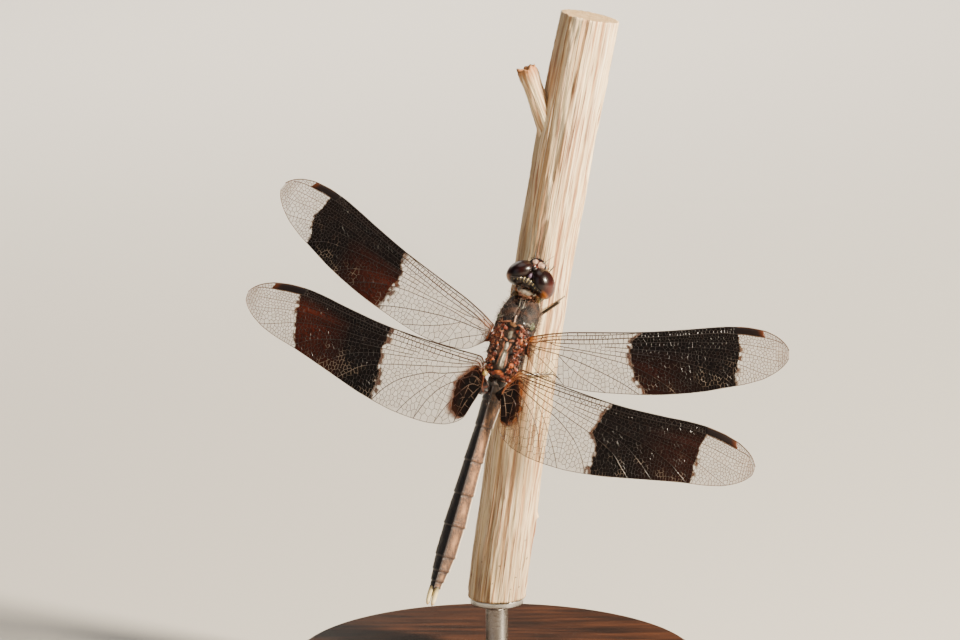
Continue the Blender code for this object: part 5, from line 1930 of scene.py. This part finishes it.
coatZones = {  # which faces a patch of hair takes, in the body's, the head's or the abdomen's millimetres
    "shoulder": lambda x, y, z: (y > 6.3) * (y < 9.7) * (z > -4.5),
    "edge": lambda x, y, z: (y > 6.3) * (y < 9.7) * (z > -4.5) * (0.2 + (np.abs(x) > 1.5)),
    "neck": lambda x, y, z: (y > 9.3) * (y < 10.7) * (z > -3.6),
    "flank": lambda x, y, z: (z < -1.6) * (z > -5.8) * (y < 9.4) * (y > 0.3),
    "wingBase": lambda x, y, z: (np.abs(x) > 0.9) * (z > -1.6) * (y < 6.4),
    "face": lambda x, y, z: (y > 0.9) * (z > -1.8),
    "waist": lambda x, y, z: (y > -3.4) * (z > -0.9),
}
coatHairs = {  # length, thickness, lean and unevenness, in millimetres
    "shoulder": (0.15, 0.012, (0, 0.5, 0), 0.35),
    "edge": (0.4, 0.012, (0, 0.5, 0), 0.35),
    "neck": (0.5, 0.017, (0, 0.3, 0.2), 0.45),
    "flank": (0.4, 0.014, (0, -0.4, -0.2), 0.3),
    "wingBase": (0.5, 0.015, (0, 0, 0.3), 0.6),
    "face": (0.3, 0.014, (0, 0.2, 0.1), 0.4),
    "waist": (0.2, 0.012, (0, -0.8, 0), 0.3),
}


def buildCoat():
    dice = np.random.default_rng(23)
    paleHair = mottled("pale hair", 1.6, 2.0, (74, 58, 50), (138, 112, 98), Roughness=0.55)
    darkHair = mottled("dark hair", 1.6, 2.0, (22, 17, 17), (58, 44, 38), Roughness=0.55)
    rustHair = mottled("rusty hair", 1.6, 2.0, (96, 54, 36), (166, 112, 84), Roughness=0.55)

    def tufts(skin, *zones):
        return [root for zone in zones
                for root in rootsOn(skin, coatPlan[zone], coatZones[zone], coatHairs[zone], dice)]

    thorax = (thoraxSkin, body, aroundBody)
    grow("coat_shoulders", tufts(thorax, "shoulder", "edge", "flank"), paleHair, "rust_shell")
    grow("coat_collar", tufts(thorax, "neck", "wingBase"), rustHair, "rust_shell")
    comb = []
    for number in range(coatPlan["comb"]):
        share = 2 * (number + dice.uniform(-0.4, 0.4)) / (coatPlan["comb"] - 1) - 1
        place = combLine(share)
        lean = head.direction((share * 0.8, -0.55, 0.75)).normalized()
        lean = (lean + Vector(dice.normal(0, 0.12, 3))).normalized()
        root = head.world(place + Vector((0, -0.05, 0.08)))
        comb.append((root, lean, float(dice.uniform(0.3, 0.52)), 0.02, aroundHead(place)))
    grow("coat_head", comb + tufts((headSkin, head, aroundHead), "face"), darkHair, "dark_shell")
    grow("coat_waist", tufts((tailSkin, tail, aroundTail), "waist"), paleHair, "abdomen_shell")
    grow("leg_spines", spines, darkHair, "leg_shell", 5)


buildCoat()
print("coat grown")

# the floor, the light and the camera

stagePlan = {
    "aim": (-1.97, 0.0, 45.0),
    "elevation": 12.0,
    "distance": 617.0,
    "lens": 200.0,
    "sensor": 36.0,
    "floorHalf": 2600.0,
    "wallCurve": 500.0,
    "wallHeight": 1800.0,
    "sky": 0.11,
}
lamps = {  # place, what it points at, power, size, colour, spread
    "key": ((470, -250, 330), (0, 0, 42), 20.5, 0.10, (1.0, 0.88, 0.7), pi),
    "fill": ((-500, -420, 260), (0, 0, 42), 0.6, 0.6, (0.86, 0.92, 1.0), pi),
    "top": ((-60, 60, 620), (0, 0, 42), 1.2, 0.5, (1.0, 0.97, 0.92), pi),
    "rim": ((-180, 420, 260), (0, 0, 55), 0.5, 0.3, (1.0, 0.93, 0.82), pi),
    "backdrop": ((0, 600, 900), (0, 600, 0), 3.0, 0.3, (1.0, 0.93, 0.82), radians(62)),
}


def backdrop():  # a pale floor that curves up far behind
    half, curve = stagePlan["floorHalf"], stagePlan["wallCurve"]
    profile = [(-half, 0.0), (half - curve, 0.0)]
    profile += [(half - curve * (1 - sin(a)), curve * (1 - cos(a))) for a in np.linspace(0.05, pi / 2, 24)]
    profile.append((half, stagePlan["wallHeight"]))
    points = [(x * mm, y * mm, z * mm) for x in (-half, half) for y, z in profile]
    item = pieceFrom("floor", points, [tuple(reversed(face)) for face in sheet(2, len(profile))])
    made = Finish("floor paint", Roughness=0.85)
    made.give("Base Color", (196, 191, 183))
    wear(item, made)


def aimed(name, data, at, towards):
    item = bpy.data.objects.new(name, data)
    item.location = Vector(at) * mm
    item.rotation_euler = (Vector(towards) - Vector(at)).to_track_quat("-Z", "Y").to_euler()
    bpy.context.scene.collection.objects.link(item)
    return item


def viewpoint():
    data = bpy.data.cameras.new("camera")
    data.lens = stagePlan["lens"]
    data.sensor_width = stagePlan["sensor"]
    data.clip_start = 0.01
    data.clip_end = 20.0
    aim = Vector(stagePlan["aim"])
    tip = radians(stagePlan["elevation"])
    at = aim + Vector((0.0, -cos(tip), sin(tip))) * stagePlan["distance"]
    bpy.context.scene.camera = aimed("camera", data, at, aim)


backdrop()
viewpoint()
for name, (at, towards, power, size, colour, spread) in lamps.items():
    light = bpy.data.lights.new(name, "AREA")
    light.shape = "DISK"
    light.energy = power
    light.size = size
    light.color = colour
    light.spread = spread
    aimed(name, light, at, towards)
world = bpy.data.worlds.new("studio")
world.use_nodes = True
sky = world.node_tree.nodes["Background"].inputs
sky["Color"].default_value = tone(214, 216, 220)
sky["Strength"].default_value = stagePlan["sky"]
bpy.context.scene.world = world
print("stage, light and camera placed")
